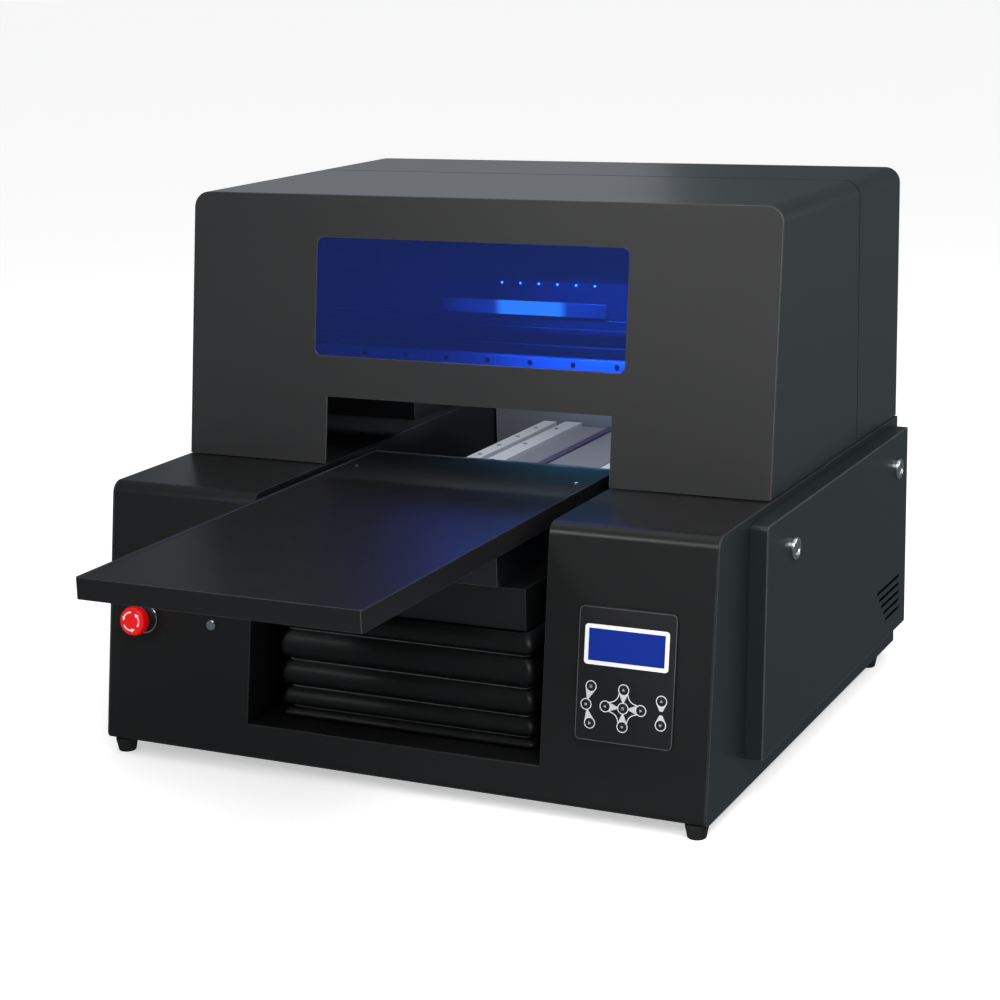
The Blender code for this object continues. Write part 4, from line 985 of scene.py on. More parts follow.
@dataclass
class Cabinet:
    """The lower cabinet: folded front cover with its shoulders, side plates, bay and feet."""

    width: float = 0.792
    low_z: float = 0.018
    deck_z: float = 0.336
    front_y: float = -0.2014
    back_y: float = 0.541
    lean: float = 0.150
    toe_r: float = 0.008
    toe_depth: float = 0.030
    shoulder_r: float = 0.016
    sheet: float = 0.002
    gap: float = 0.0003
    bay_w: float = 0.387
    bay_floor_z: float = 0.0608
    bay_back_y: float = 0.512
    edge: float = 0.0004
    arc_steps: int = 14

    def front_at(self, z: float) -> float:
        """Y of the leaning front at a height."""
        return self.front_y + self.lean * (z - self.low_z)

    def on_face(self, x: float, z: float, out: float = 0.0) -> Matrix:
        """A frame on the leaning front, at a height above the floor and a way out of it."""
        slope = math.hypot(1.0, self.lean)
        frame_there = face_frame(Vector((0, self.front_y, self.low_z)), self.lean)
        return frame_there @ Matrix.Translation((x, (z - self.low_z) * slope, out))

    def build_front_cover(self) -> None:
        """Fold the front cover: toe, leaning front, rounded shoulders and deck, cut away at the bay."""
        half = self.width / 2 - self.sheet - self.gap
        corners = [(self.front_y + self.toe_depth, self.low_z), (self.front_y, self.low_z),
                   (self.front_at(self.deck_z), self.deck_z), (self.back_y, self.deck_z)]
        path = rounded(corners, [0, self.toe_r, self.shoulder_r, 0], self.arc_steps)
        bm = drawn([Vector((-half, p.x, p.y)) for p in path], Vector((2 * half, 0, 0)))
        for side in (-1, 1):
            slice_at(bm, (side * self.bay_w / 2, 0, 0), (1, 0, 0))
        slice_at(bm, (0, 0, self.bay_floor_z), (0, 0, 1))
        slice_at(bm, (0, self.bay_back_y, 0), (0, 1, 0))
        inside = [face for face in bm.faces if self.in_bay(face.calc_center_median())]
        bmesh.ops.delete(bm, geom=inside, context="FACES")
        face_out(bm, (0, 0.2, 0.15))
        cover = thickened(bm, self.sheet)
        soften(cover, self.edge, 2, 40)
        add_piece("base_front_cover_fine", cover, Palette.CABINET, Body.BASE, ["base_front_cover"])

    def in_bay(self, place: Vector) -> bool:
        """Whether a point of the cover lies in the bay's cut-out."""
        return (abs(place.x) < self.bay_w / 2 and place.z > self.bay_floor_z
                and place.y < self.bay_back_y)

    def build_side_plates(self) -> None:
        """Cut the side plates to the same rounded outline."""
        corners = [(self.front_y, self.low_z), (self.front_at(self.deck_z), self.deck_z),
                   (self.back_y, self.deck_z), (self.back_y, self.low_z)]
        outline = rounded(corners, [self.toe_r, self.shoulder_r, 0, 0], self.arc_steps)
        for side, x in (("left", -self.width / 2), ("right", self.width / 2 - self.sheet)):
            bm = plate([outline], self.sheet, self.edge)
            place = Matrix.Translation((x, 0, 0)) @ FACING_X
            add_piece(f"base_side_{side}_fine", moved(bm, place), Palette.SIDE_PAINTED_SHEEN, Body.BASE,
                      [f"base_side_{side}"])

    def build_inside(self) -> None:
        """Finish the floor, the bay's lining and the rear panel."""
        refine("base_floor", Palette.CABINET, Body.BASE, 0.0003)
        refine("base_rear_panel", Palette.CABINET, Body.BASE, 0.0003)
        refine("bay_liner", Palette.LINER, Body.BASE, 0.0003)
        half = self.bay_w / 2 - self.sheet
        wall = block((-half, self.bay_back_y - 0.004, self.bay_floor_z + self.gap),
                     (half, self.bay_back_y - 0.002, self.deck_z - self.sheet - self.gap))
        soften(wall, self.edge)
        add_piece("bay_back_wall", wall, Palette.PLATE, Body.BASE)

    def build_feet(self) -> None:
        """Turn the tapered rubber feet, each with a rounded tread."""
        for end in ("front", "rear"):
            for side in ("left", "right"):
                node = f"foot_{end}_{side}"
                low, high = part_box(node)
                middle = (low + high) / 2
                radius = (high.x - low.x) / 2
                top = high.z
                profile = [(0, top), (radius - 0.0008, top), (radius, top - 0.0008),
                           (radius, top * 0.74), (radius - 0.0006, top * 0.62),
                           (radius * 0.83, 0.0022), (radius * 0.80, 0.0008), (radius * 0.74, 0.0),
                           (radius * 0.30, 0.0), (radius * 0.28, 0.0012), (0, 0.0012)]
                bm = moved(spun(profile, 40), Matrix.Translation((middle.x, middle.y, 0)))
                add_piece(f"{node}_fine", bm, Palette.RUBBER, Body.BASE, [node])

    def build(self) -> None:
        """Build the whole cabinet."""
        self.build_front_cover()
        self.build_side_plates()
        self.build_inside()
        self.build_feet()


# Side covers -----------------------------------------------------------------------------------

@dataclass
class SideCover:
    """A shallow pan on one side of the cabinet, with stepped vents and two quarter-turn locks."""

    side: str
    sign: int
    face_x: float = 0.418
    depth: float = 0.0217
    wall: float = 0.002
    front_low_y: float = -0.077
    front_top_y: float = -0.059
    back_y: float = 0.515
    low_z: float = 0.0565
    top_z: float = 0.3275
    bend_r: float = 0.0016
    vents: int = 5
    vent_pitch: float = 0.0111
    vent_h: float = 0.005
    vent_low_z: float = 0.0849
    vent_back_y: float = 0.485
    vent_long: float = 0.106
    vent_step: float = 0.010
    lock_ys: tuple[float, float] = (0.032, 0.467)
    lock_z: float = 0.2805
    barrel_r: float = 0.0096

    def outward(self, y: float, z: float, out: float = 0.0) -> Matrix:
        """A frame on the cover's face whose local Z points away from the machine."""
        turn = Matrix.Identity(4) if self.sign > 0 else Matrix.Rotation(math.pi, 4, "X")
        return Matrix.Translation((self.sign * (self.face_x + out), y, z)) @ FACING_X @ turn

    def build_pan(self) -> None:
        """Fold the pan, then cut its vents and the holes for the locks."""
        corners = [(self.front_low_y, self.low_z), (self.back_y, self.low_z),
                   (self.back_y, self.top_z), (self.front_top_y, self.top_z)]
        outline = rounded(corners, [0.003, 0.003, 0.003, 0.006], 5)
        bm = bmesh.new()
        verts = [bm.verts.new((self.sign * self.face_x, p.x, p.y)) for p in outline]
        face = bmesh.ops.contextual_create(bm, geom=verts)["faces"][0]
        made = bmesh.ops.extrude_edge_only(bm, edges=list(face.edges))["geom"]
        deep = [item for item in made if isinstance(item, bmesh.types.BMVert)]
        bmesh.ops.translate(bm, vec=(-self.sign * self.depth, 0, 0), verts=deep)
        face_out(bm, (0, 0.22, 0.19))
        bevel_edges(bm, list(face.edges), self.bend_r, 3)
        pan = carved(thickened(bm, self.wall), self.cutters())
        add_piece(f"side_cover_{self.side}_fine", pan, Palette.SIDE_PAINTED_SHEEN, Body.BASE,
                  [f"side_cover_{self.side}"])

    def cutters(self) -> list[BMesh]:
        """The shapes of the vents and lock holes, to be cut from the pan."""
        tools = []
        reach = 0.008
        for row in range(self.vents):
            z = self.vent_low_z + row * self.vent_pitch
            length = self.vent_long - (self.vents - 1 - row) * self.vent_step
            slot = rectangle(length, self.vent_h, self.vent_h * 0.48, (0, 0), 6)
            place = self.outward(self.vent_back_y - length / 2, z, -reach / 2)
            tools.append(moved(plate([slot], reach), place))
        for y in self.lock_ys:
            tools.append(moved(drum(self.barrel_r, reach, 40), self.outward(y, self.lock_z, -reach / 2)))
        return tools

    def build_locks(self) -> None:
        """Turn the chrome locks: a raised ring round a slotted plug."""
        tail = -0.016
        profile = [(0, 0.0036), (0.0062, 0.0036), (0.0066, 0.0030), (0.0080, 0.0030), (0.0084, 0.0046),
                   (0.0092, 0.0050), (0.0118, 0.0050), (0.0131, 0.0040), (0.0135, 0.0026),
                   (0.0135, 0.0003), (0.0090, 0.0003), (0.0090, tail), (0, tail)]
        for end, y in zip(("front", "rear"), self.lock_ys):
            slot = block((-0.0010, -0.0042, 0.0008), (0.0010, 0.0042, 0.01))
            lock = carved(spun(profile, 48), [slot])
            node = f"cover_lock_{self.side}_{end}"
            add_piece(f"{node}_fine", moved(lock, self.outward(y, self.lock_z)), Palette.CHROME,
                      f"lock_{self.side}_{end}", [node])

    def build(self) -> None:
        """Build the cover and its locks."""
        self.build_pan()
        self.build_locks()


# Controls --------------------------------------------------------------------------------------

@dataclass(frozen=True)
class Key:
    """One key of the pad: where it is and what is printed on it."""

    name: str
    x: float
    z: float
    mark: Symbol


@dataclass
class ControlPanel:
    """The membrane panel on the right shoulder: display, ten keys and the printing round them."""

    cabinet: Cabinet
    centre_x: float = 0.294
    centre_z: float = 0.1735
    width: float = 0.118
    height: float = 0.153
    corner_r: float = 0.007
    film: float = 0.0015
    gap: float = 0.0003
    lcd_z: float = 0.2065
    lcd_w: float = 0.1005
    lcd_h: float = 0.0455
    lcd_r: float = 0.004
    lcd_border: float = 0.0045
    lcd_proud: float = 0.001
    key_r: float = 0.005
    key_slack: float = 0.0006
    key_proud: float = 0.0009
    key_long: float = 0.005
    ring_r: float = 0.0066
    print_t: float = 0.00004
    keys: list[Key] = field(default_factory=lambda: [
        Key("menu", 0.2533, 0.1593, Symbol.BARS), Key("back", 0.2481, 0.1388, Symbol.SQUARE),
        Key("run", 0.2533, 0.1183, Symbol.PLAY), Key("in", 0.2925, 0.1593, Symbol.UP),
        Key("left", 0.2712, 0.1388, Symbol.LEFT), Key("ok", 0.2925, 0.1388, Symbol.BARS),
        Key("right", 0.3138, 0.1388, Symbol.RIGHT), Key("out", 0.2925, 0.1183, Symbol.DOWN),
        Key("up", 0.3378, 0.1520, Symbol.UP), Key("down", 0.3378, 0.1256, Symbol.DOWN)])

    def on_panel(self, x: float, z: float) -> Vector:
        """A place on the panel's own plane, counted from its centre."""
        return Vector((x - self.centre_x, (z - self.centre_z) * math.hypot(1.0, self.cabinet.lean)))

    def printed(self, out: float = 0.0) -> Matrix:
        """The frame of the printing on the film's face."""
        return self.cabinet.on_face(self.centre_x, self.centre_z, self.gap + self.film + HAIR + out)

    def key_places(self) -> dict[str, Vector]:
        """Every key's centre on the panel's plane."""
        return {key.name: self.on_panel(key.x, key.z) for key in self.keys}

    def build_film(self) -> None:
        """The film over the opening, its printed border, the display's frame and the display."""
        hole_r = self.key_r + self.key_slack
        glass = (self.lcd_w - 2 * self.lcd_border, self.lcd_h - 2 * self.lcd_border)
        centre = self.on_panel(self.centre_x, self.lcd_z)
        loops = [rectangle(self.width, self.height, self.corner_r)]
        loops += [ring(hole_r, tuple(place), 32) for place in self.key_places().values()]
        loops.append(rectangle(glass[0] + 2 * self.gap, glass[1] + 2 * self.gap, 0, tuple(centre)))
        place = self.cabinet.on_face(self.centre_x, self.centre_z, self.gap)
        add_piece("control_overlay_fine", moved(plate(loops, self.film, 0.0003), place),
                  Palette.OVERLAY, Body.BASE, ["control_overlay"])
        inset = 0.0022
        border = [rectangle(self.width - inset, self.height - inset, self.corner_r - inset / 2),
                  rectangle(self.width - inset - 0.0012, self.height - inset - 0.0012,
                            self.corner_r - inset / 2 - 0.0006)]
        add_piece("panel_border", moved(plate(border, self.print_t), self.printed()), Palette.LINE, Body.BASE)
        front = self.gap + self.film
        at_lcd = self.cabinet.on_face(self.centre_x, self.lcd_z, front + self.gap)
        bezel = [rectangle(self.lcd_w, self.lcd_h, self.lcd_r), rectangle(*glass, 0.0004)]
        add_piece("lcd_bezel_fine", moved(plate(bezel, self.lcd_proud, 0.0003), at_lcd), Palette.WHITE,
                  Body.BASE, ["lcd_bezel"])
        depth = 0.004
        screen = plate([rectangle(glass[0] - 2 * self.gap, glass[1] - 2 * self.gap, 0.0003)], depth, 0.0002)
        place = self.cabinet.on_face(self.centre_x, self.lcd_z, front + self.gap + 0.0004 - depth)
        add_piece("lcd_screen_fine", moved(screen, place), Palette.LCD, Body.BASE, ["lcd_screen"])

    def teardrop(self, start: Vector, end: Vector, tip: float) -> list[Vector]:
        """The outline of a link that narrows from one key's ring towards another place.

        Args:
            start: Centre of the ring at the wide end.
            end: Where the narrow end is.
            tip: Half the narrow end's width.

        Returns:
            A closed path.
        """
        along = (end - start).normalized()
        across = Vector((-along.y, along.x))
        spread = math.radians(62)
        out = along * (self.ring_r * math.cos(spread)) + across * (self.ring_r * math.sin(spread))
        back = along * (self.ring_r * math.cos(spread)) - across * (self.ring_r * math.sin(spread))
        near = [start + along * (self.ring_r * math.cos(t)) - across * (self.ring_r * math.sin(t))
                for t in [spread - 2 * spread * step / 8 for step in range(1, 8)]]
        return [start + back] + near + [start + out, end + across * tip, end - across * tip]

    def bow(self, start: Vector, bend: Vector, end: Vector, width: float) -> list[Vector]:
        """The outline of a curved line of even width through a quadratic bend."""
        left, right = [], []
        for step in range(17):
            t = step / 16
            place = start * (1 - t) ** 2 + bend * (2 * t * (1 - t)) + end * t ** 2
            ahead = ((bend - start) * (1 - t) + (end - bend) * t).normalized()
            across = Vector((-ahead.y, ahead.x)) * (width / 2)
            left.append(place + across)
            right.append(place - across)
        return left + right[::-1]

    def build_printing(self) -> None:
        """Print the white rings, the links between them and the bows of the cross."""
        places = self.key_places()
        rings, links = [], []
        for place in places.values():
            shape = [ring(self.ring_r, tuple(place), 40), ring(self.key_r + self.key_slack, tuple(place), 40)]
            rings.append(plate(shape, self.print_t))
        for wide, narrow in (("menu", "back"), ("run", "back"), ("in", "ok"), ("left", "ok"),
                             ("right", "ok"), ("out", "ok")):
            start, goal = places[wide], places[narrow]
            end = goal - (goal - start).normalized() * self.ring_r
            links.append(plate([self.teardrop(start, end, 0.0011)], self.print_t))
        middle = (places["up"] + places["down"]) / 2
        for name in ("up", "down"):
            end = middle - (middle - places[name]).normalized() * 0.0022
            links.append(plate([self.teardrop(places[name], end, 0.0019)], self.print_t))
        heart = places["ok"]
        for up_down in ("in", "out"):
            for side in ("left", "right"):
                tall, wide = places[up_down] - heart, places[side] - heart
                start = heart + tall * 0.78 + wide.normalized() * 0.0053
                end = heart + wide * 0.78 + tall.normalized() * 0.0053
                bend = heart + tall.normalized() * 0.0066 + wide.normalized() * 0.0066
                rings.append(plate([self.bow(start, bend, end, 0.0010)], self.print_t))
        add_piece("keypad_rings", moved(joined(rings), self.printed()), Palette.MARK, Body.BASE)
        add_piece("keypad_links", moved(joined(links), self.printed()), Palette.SILVER_PRINT, Body.BASE)

    def mark(self, symbol: Symbol) -> list[list[Vector]]:
        """The outlines of a key's small printed mark, in its own plane."""
        arrow = [(-0.0019, -0.0011), (0.0019, -0.0011), (0.0, 0.0021)]
        turns = {Symbol.UP: 0, Symbol.LEFT: 90, Symbol.DOWN: 180, Symbol.RIGHT: -90, Symbol.PLAY: -90}
        if symbol is Symbol.BARS:
            return [rectangle(0.0036, 0.0007, 0, (0, z)) for z in (-0.0013, 0.0, 0.0013)]
        if symbol is Symbol.SQUARE:
            return [rectangle(0.0030, 0.0026, 0.0004, (0, 0), 3)]
        turn = Matrix.Rotation(math.radians(turns[symbol]), 2)
        shapes = [[turn @ Vector(point) for point in arrow]]
        if symbol is Symbol.PLAY:
            shapes = [[turn @ (Vector(point) * 1.15) for point in arrow]]
        return shapes

    def build_keys(self) -> None:
        """Make the ten domed keys and the mark on each of them."""
        front = self.gap + self.film
        r, top = self.key_r, self.key_long
        profile = [(0, top), (r * 0.55, top - 0.00005), (r * 0.85, top - 0.00018), (r * 0.96, top - 0.0004),
                   (r, top - 0.0008), (r, 0), (0, 0)]
        for key in self.keys:
            place = self.cabinet.on_face(key.x, key.z, front + self.key_proud - self.key_long)
            body = f"key_{key.name}"
            add_piece(f"button_{key.name}_fine", moved(spun(profile, 40), place), Palette.CAP, body,
                      [f"button_{key.name}"])
            shapes = joined([plate([loop], self.print_t) for loop in self.mark(key.mark)])
            raised = place @ Matrix.Translation((0, 0, top - HAIR / 2))
            add_piece(f"button_mark_{key.name}", moved(shapes, raised), Palette.LEGEND, body)

    def build(self) -> None:
        """Build the panel."""
        self.build_film()
        self.build_printing()
        self.build_keys()


@dataclass
class StopAndKey:
    """The emergency stop and the key lock on the left shoulder."""

    cabinet: Cabinet
    stop_x: float = -0.345
    stop_z: float = 0.1725
    head_r: float = 0.018
    stem_r: float = 0.010
    head_low: float = 0.0145
    head_top: float = 0.030
    collar_r: float = 0.0165
    collar_h: float = 0.008
    key_x: float = -0.248
    key_z: float = 0.1745
    key_r: float = 0.0065
    slack: float = 0.0006

    def crown(self, radius: float) -> float:
        """Height of the head's domed top at a distance from its axis."""
        share = radius / self.head_r
        return self.head_top - 0.0026 * share ** 3

    def build_stop(self) -> None:
        """Turn the mushroom head and its collar, and print its three turning arrows."""
        r, low = self.head_r, self.head_low
        profile = [(r * share, self.crown(r * share)) for share in (0, 0.2, 0.4, 0.55, 0.7, 0.8, 0.88)]
        profile += [(r * 0.93, self.crown(r * 0.93) - 0.0004), (r * 0.975, self.head_top - 0.0042),
                    (r, self.head_top - 0.0066), (r, low + 0.0040), (r * 0.975, low + 0.0018),
                    (r * 0.90, low), (self.stem_r, low), (self.stem_r, -0.012), (0, -0.012)]
        place = self.cabinet.on_face(self.stop_x, self.stop_z)
        add_piece("stop_button_fine", moved(spun(profile, 64), place), Palette.RED, Body.STOP,
                  ["stop_button"])
        arrows = joined([self.arrow(turn) for turn in (90, 210, 330)])
        add_piece("stop_arrows", moved(arrows, place), Palette.MARK, Body.STOP)
        inner = self.stem_r + self.slack
        collar = [(inner, 0.0003), (self.collar_r - 0.0004, 0.0003), (self.collar_r, 0.0008),
                  (self.collar_r, self.collar_h - 0.0016), (self.collar_r - 0.0012, self.collar_h),
                  (inner, self.collar_h), (inner, 0.0003)]
        add_piece("stop_collar_fine", moved(spun(collar, 56), place), Palette.BLACK, Body.BASE,
                  ["stop_collar"])
        trim_in = self.collar_r + 0.0002
        trim = [(trim_in, HAIR), (trim_in + 0.0016, HAIR), (trim_in + 0.0016, 0.0009),
                (trim_in + 0.0011, 0.0014), (trim_in, 0.0014), (trim_in, HAIR)]
        add_piece("stop_trim", moved(spun(trim, 56), place), Palette.CHROME, Body.BASE)

    def arrow(self, degrees: float) -> BMesh:
        """A curved arrow that lies on the head's dome."""
        mid, half = self.head_r * 0.62, self.head_r * 0.055
        start, sweep, steps = math.radians(degrees), math.radians(66), 12
        turns = [start + sweep * step / steps for step in range(steps + 1)]
        outer = [Vector((math.cos(t), math.sin(t))) * (mid + half) for t in turns]
        inner = [Vector((math.cos(t), math.sin(t))) * (mid - half) for t in turns]
        last = turns[-1]
        barb = self.head_r * 0.15
        tip_turn = last + math.radians(26)
        head = [Vector((math.cos(last), math.sin(last))) * (mid + barb),
                Vector((math.cos(tip_turn), math.sin(tip_turn))) * mid,
                Vector((math.cos(last), math.sin(last))) * (mid - barb)]
        bm = plate([outer + head + inner[::-1]], 0.00006)
        bmesh.ops.subdivide_edges(bm, edges=[edge for edge in bm.edges if edge.calc_length() > 0.002], cuts=2)
        for vert in bm.verts:
            vert.co.z += self.crown(math.hypot(vert.co.x, vert.co.y)) + HAIR
        return bm

    def build_key(self) -> None:
        """Turn the key lock's slotted disc and its ring."""
        place = self.cabinet.on_face(self.key_x, self.key_z)
        r = self.key_r
        profile = [(0, 0.0030), (r - 0.0016, 0.0030), (r - 0.0009, 0.0028), (r - 0.0002, 0.0021),
                   (r, 0.0014), (r, 0.0003), (0.0048, 0.0003), (0.0048, -0.018), (0, -0.018)]
        slot = block((-0.0044, -0.0007, 0.0012), (0.0044, 0.0007, 0.01))
        slot = moved(slot, Matrix.Rotation(math.radians(-40), 4, "Z"))
        add_piece("key_lock_fine", moved(carved(spun(profile, 48), [slot]), place), Palette.CHROME,
                  Body.KEY, ["key_lock"])

    def build(self) -> None:
        """Build the stop and the key lock."""
        self.build_stop()
        self.build_key()


# Hood ------------------------------------------------------------------------------------------

@dataclass
class Hood:
    """The hinged hood: wrapped shell, leaning face plate with its mouth and window, and rear cover."""

    width: float = 0.788
    low_z: float = 0.3375
    top_z: float = 0.670
    front_y: float = 0.0167
    lean: float = 0.132
    corner_r: float = 0.020
    plate_t: float = 0.003
    sheet: float = 0.002
    gap: float = 0.0003
    seam_y: float = 0.358
    seam_half: float = 0.0015
    back_y: float = 0.541
    bay_w: float = 0.387
    mouth_h: float = 0.084
    window_w: float = 0.4205
    window_h: float = 0.1462
    window_rise: float = 0.1345
    window_x: float = -0.002
    window_r: float = 0.009
    pane_t: float = 0.003
    edge: float = 0.0005
    arc_steps: int = 14

    def section(self) -> list[Vector]:
        """The hood's outer section in (x, z), open at the bottom."""
        half = self.width / 2
        corners = [(-half, self.low_z), (-half, self.top_z), (half, self.top_z), (half, self.low_z)]
        return rounded(corners, [0, self.corner_r, self.corner_r, 0], self.arc_steps)

    def build_lid_shell(self) -> None:
        """Wrap the lid's sides and top, cut to the lean of its face."""
        section = self.section()
        back = self.seam_y - self.seam_half
        setback = (self.plate_t + self.gap) * math.hypot(1.0, self.lean)
        bm = drawn([Vector((p.x, back, p.y)) for p in section], Vector((0, -back, 0)))
        for vert in bm.verts:
            if vert.co.y < back / 2:
                vert.co.y = self.front_y + self.lean * (vert.co.z - self.low_z) + setback
        face_out(bm, (0, 0.2, 0.45))
        shell = thickened(bm, self.sheet)
        soften(shell, self.edge, 2, 40)
        add_piece("hood_lid_shell_fine", shell, Palette.HOOD_WRAP_PAINTED_SHEEN, Body.LID, ["hood_lid_shell"])

    def build_rear_cover(self) -> None:
        """Wrap the rear cover and close its back with a folded corner."""
        section = self.section()
        start = self.seam_y + self.seam_half
        bm = drawn([Vector((p.x, start, p.y)) for p in section], Vector((0, self.back_y - start, 0)))
        rear = [vert for vert in bm.verts if vert.co.y > self.back_y - 0.001]
        bm.faces.new(sorted(rear, key=lambda vert: math.atan2(vert.co.z - self.low_z - 0.1, vert.co.x)))
        face_out(bm, (0, 0.45, 0.45))
        bm.edges.ensure_lookup_table()
        folds = [edge for edge in bm.edges if len(edge.link_faces) == 2
                 and all(vert.co.y > self.back_y - 0.001 for vert in edge.verts)]
        bevel_edges(bm, folds, 0.002, 4)
        shell = thickened(bm, self.sheet)
        soften(shell, self.edge, 2, 40)
        add_piece("hood_rear_cover_fine", shell, Palette.HOOD_WRAP_PAINTED_SHEEN, Body.BASE, ["hood_rear_cover"])
        refine("lid_hinge_rod", Palette.INNER, Body.BASE, 0.0)

    def build_face(self) -> None:
        """Cut the face plate with its mouth and window, and set the pane."""
        slope = math.hypot(1.0, self.lean)
        half = self.width / 2
        height = (self.top_z - self.low_z) * slope
        mouth = self.mouth_h * slope
        bay = self.bay_w / 2
        corners = [(-half, 0), (-bay, 0), (-bay, mouth), (bay, mouth), (bay, 0), (half, 0),
                   (half, height), (-half, height)]
        outline = rounded(corners, [0, 0, 0.001, 0.001, 0, 0, self.corner_r, self.corner_r], self.arc_steps)
        centre = (self.window_x, (self.window_rise + self.window_h / 2) * slope)
        hole = rectangle(self.window_w, self.window_h * slope, self.window_r, centre)
        at_edge = face_frame(Vector((0, self.front_y, self.low_z)), self.lean)
        bm = plate([outline, hole], self.plate_t, 0.0006, 3)
        add_piece("hood_front_plate_fine", moved(bm, at_edge @ Matrix.Translation((0, 0, -self.plate_t))),
                  Palette.HOOD_FACE_PAINTED_REFLECTION, Body.LID, ["hood_front_plate"])
        pane = rectangle(self.window_w - 2 * self.gap, self.window_h * slope - 2 * self.gap,
                         self.window_r - self.gap, centre)
        glass = plate([pane], self.pane_t, 0.0004)
        place = at_edge @ Matrix.Translation((0, 0, -self.pane_t - 0.0004))
        add_piece("window_pane_fine", moved(glass, place), Palette.WINDOW, Body.LID, ["window_pane"])

    def build(self) -> None:
        """Build the hood."""
        self.build_lid_shell()
        self.build_rear_cover()
        self.build_face()


# Bed and lift ----------------------------------------------------------------------------------

@dataclass
class Bed:
    """The sliding tray, its saddle, and the rails and beam that carry it."""

    top_z: float = 0.339
    rim: float = 0.0012
    rail_x: float = 0.097
    rail_top_z: float = 0.3055
    bolt_pitch: float = 0.060
    screw_x: float = 0.150
    screw_y: float = 0.020
    strip_x: tuple[float, float] = (-0.0755, -0.0500)
    plate_x: tuple[float, float] = (-0.0496, -0.0074)
    belt_x: tuple[float, float] = (-0.0070, 0.0030)
    far_plate_x: tuple[float, float] = (0.0034, 0.0755)
    strip_screw_x: float = -0.0665
    screw_pitch: float = 0.104

    def build_tray(self) -> None:
        """Round the tray's edges and set the two screws at its back corners."""
        bm = cad_copy("bed_tray")
        soften(bm, 0.0005, 2)
        add_piece("bed_tray_fine", bm, Palette.TRAY, Body.TRAY, ["bed_tray"])
        heads = []
        for sign in (-1, 1):
            place = Matrix.Translation((sign * self.screw_x, self.screw_y, self.top_z - self.rim))
            heads.append(moved(cap_screw(0.0035, 0.0011, 0.0016), place))
        add_piece("tray_screws", joined(heads), Palette.STEEL, Body.TRAY)
        refine("tray_slider", Palette.ALUMINIUM, Body.TRAY, 0.0005)

    def build_rails(self) -> None:
        """Dress the Y beam, its two rails and their bolts."""
        refine("y_base", Palette.GANTRY, Body.LIFT, 0.0008)
        heads = []
        for side, sign in (("left", -1), ("right", 1)):
            node = f"y_rail_{side}"
            refine(node, Palette.RAIL, Body.LIFT, 0.0003)
            low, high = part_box(node)
            count = int((high.y - low.y - self.bolt_pitch / 2) / self.bolt_pitch)
            for bolt in range(count + 1):
                y = low.y + self.bolt_pitch * (bolt + 0.5)
                place = Matrix.Translation((sign * self.rail_x, y, self.rail_top_z))
                heads.append(moved(drum(0.0032, 0.0002, 16), place))
        add_piece("y_rail_bolts", joined(heads), Palette.BLACK, Body.LIFT)

    def build_bed_strips(self) -> None:
        """Lay the strip, the plates and the drive belt between the rails."""
        low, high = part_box("y_base")
        front, back, floor = low.y + 0.006, high.y - 0.006, high.z + HAIR
        strips = [("bed_strip", self.strip_x, 0.0155, Palette.ALUMINIUM),
                  ("bed_plate_left", self.plate_x, 0.0100, Palette.PLATE),
                  ("bed_plate_right", self.far_plate_x, 0.0100, Palette.PLATE),
                  ("bed_belt", self.belt_x, 0.0130, Palette.BELT)]
        for name, (left, right), height, finish in strips:
            bm = block((left, front, floor), (right, back, floor + height))
            soften(bm, 0.0006, 2)
            add_piece(name, bm, finish, Body.LIFT)
        heads = []
        count = int((back - front) / self.screw_pitch)
        for screw in range(count):
            y = front + self.screw_pitch * (screw + 0.6)
            place = Matrix.Translation((self.strip_screw_x, y, floor + 0.0155))
            heads.append(moved(drum(0.0030, 0.0004, 16), place))
        add_piece("bed_strip_screws", joined(heads), Palette.BLACK, Body.LIFT)

    def build(self) -> None:
        """Build the bed."""
        self.build_tray()
        self.build_rails()
        self.build_bed_strips()


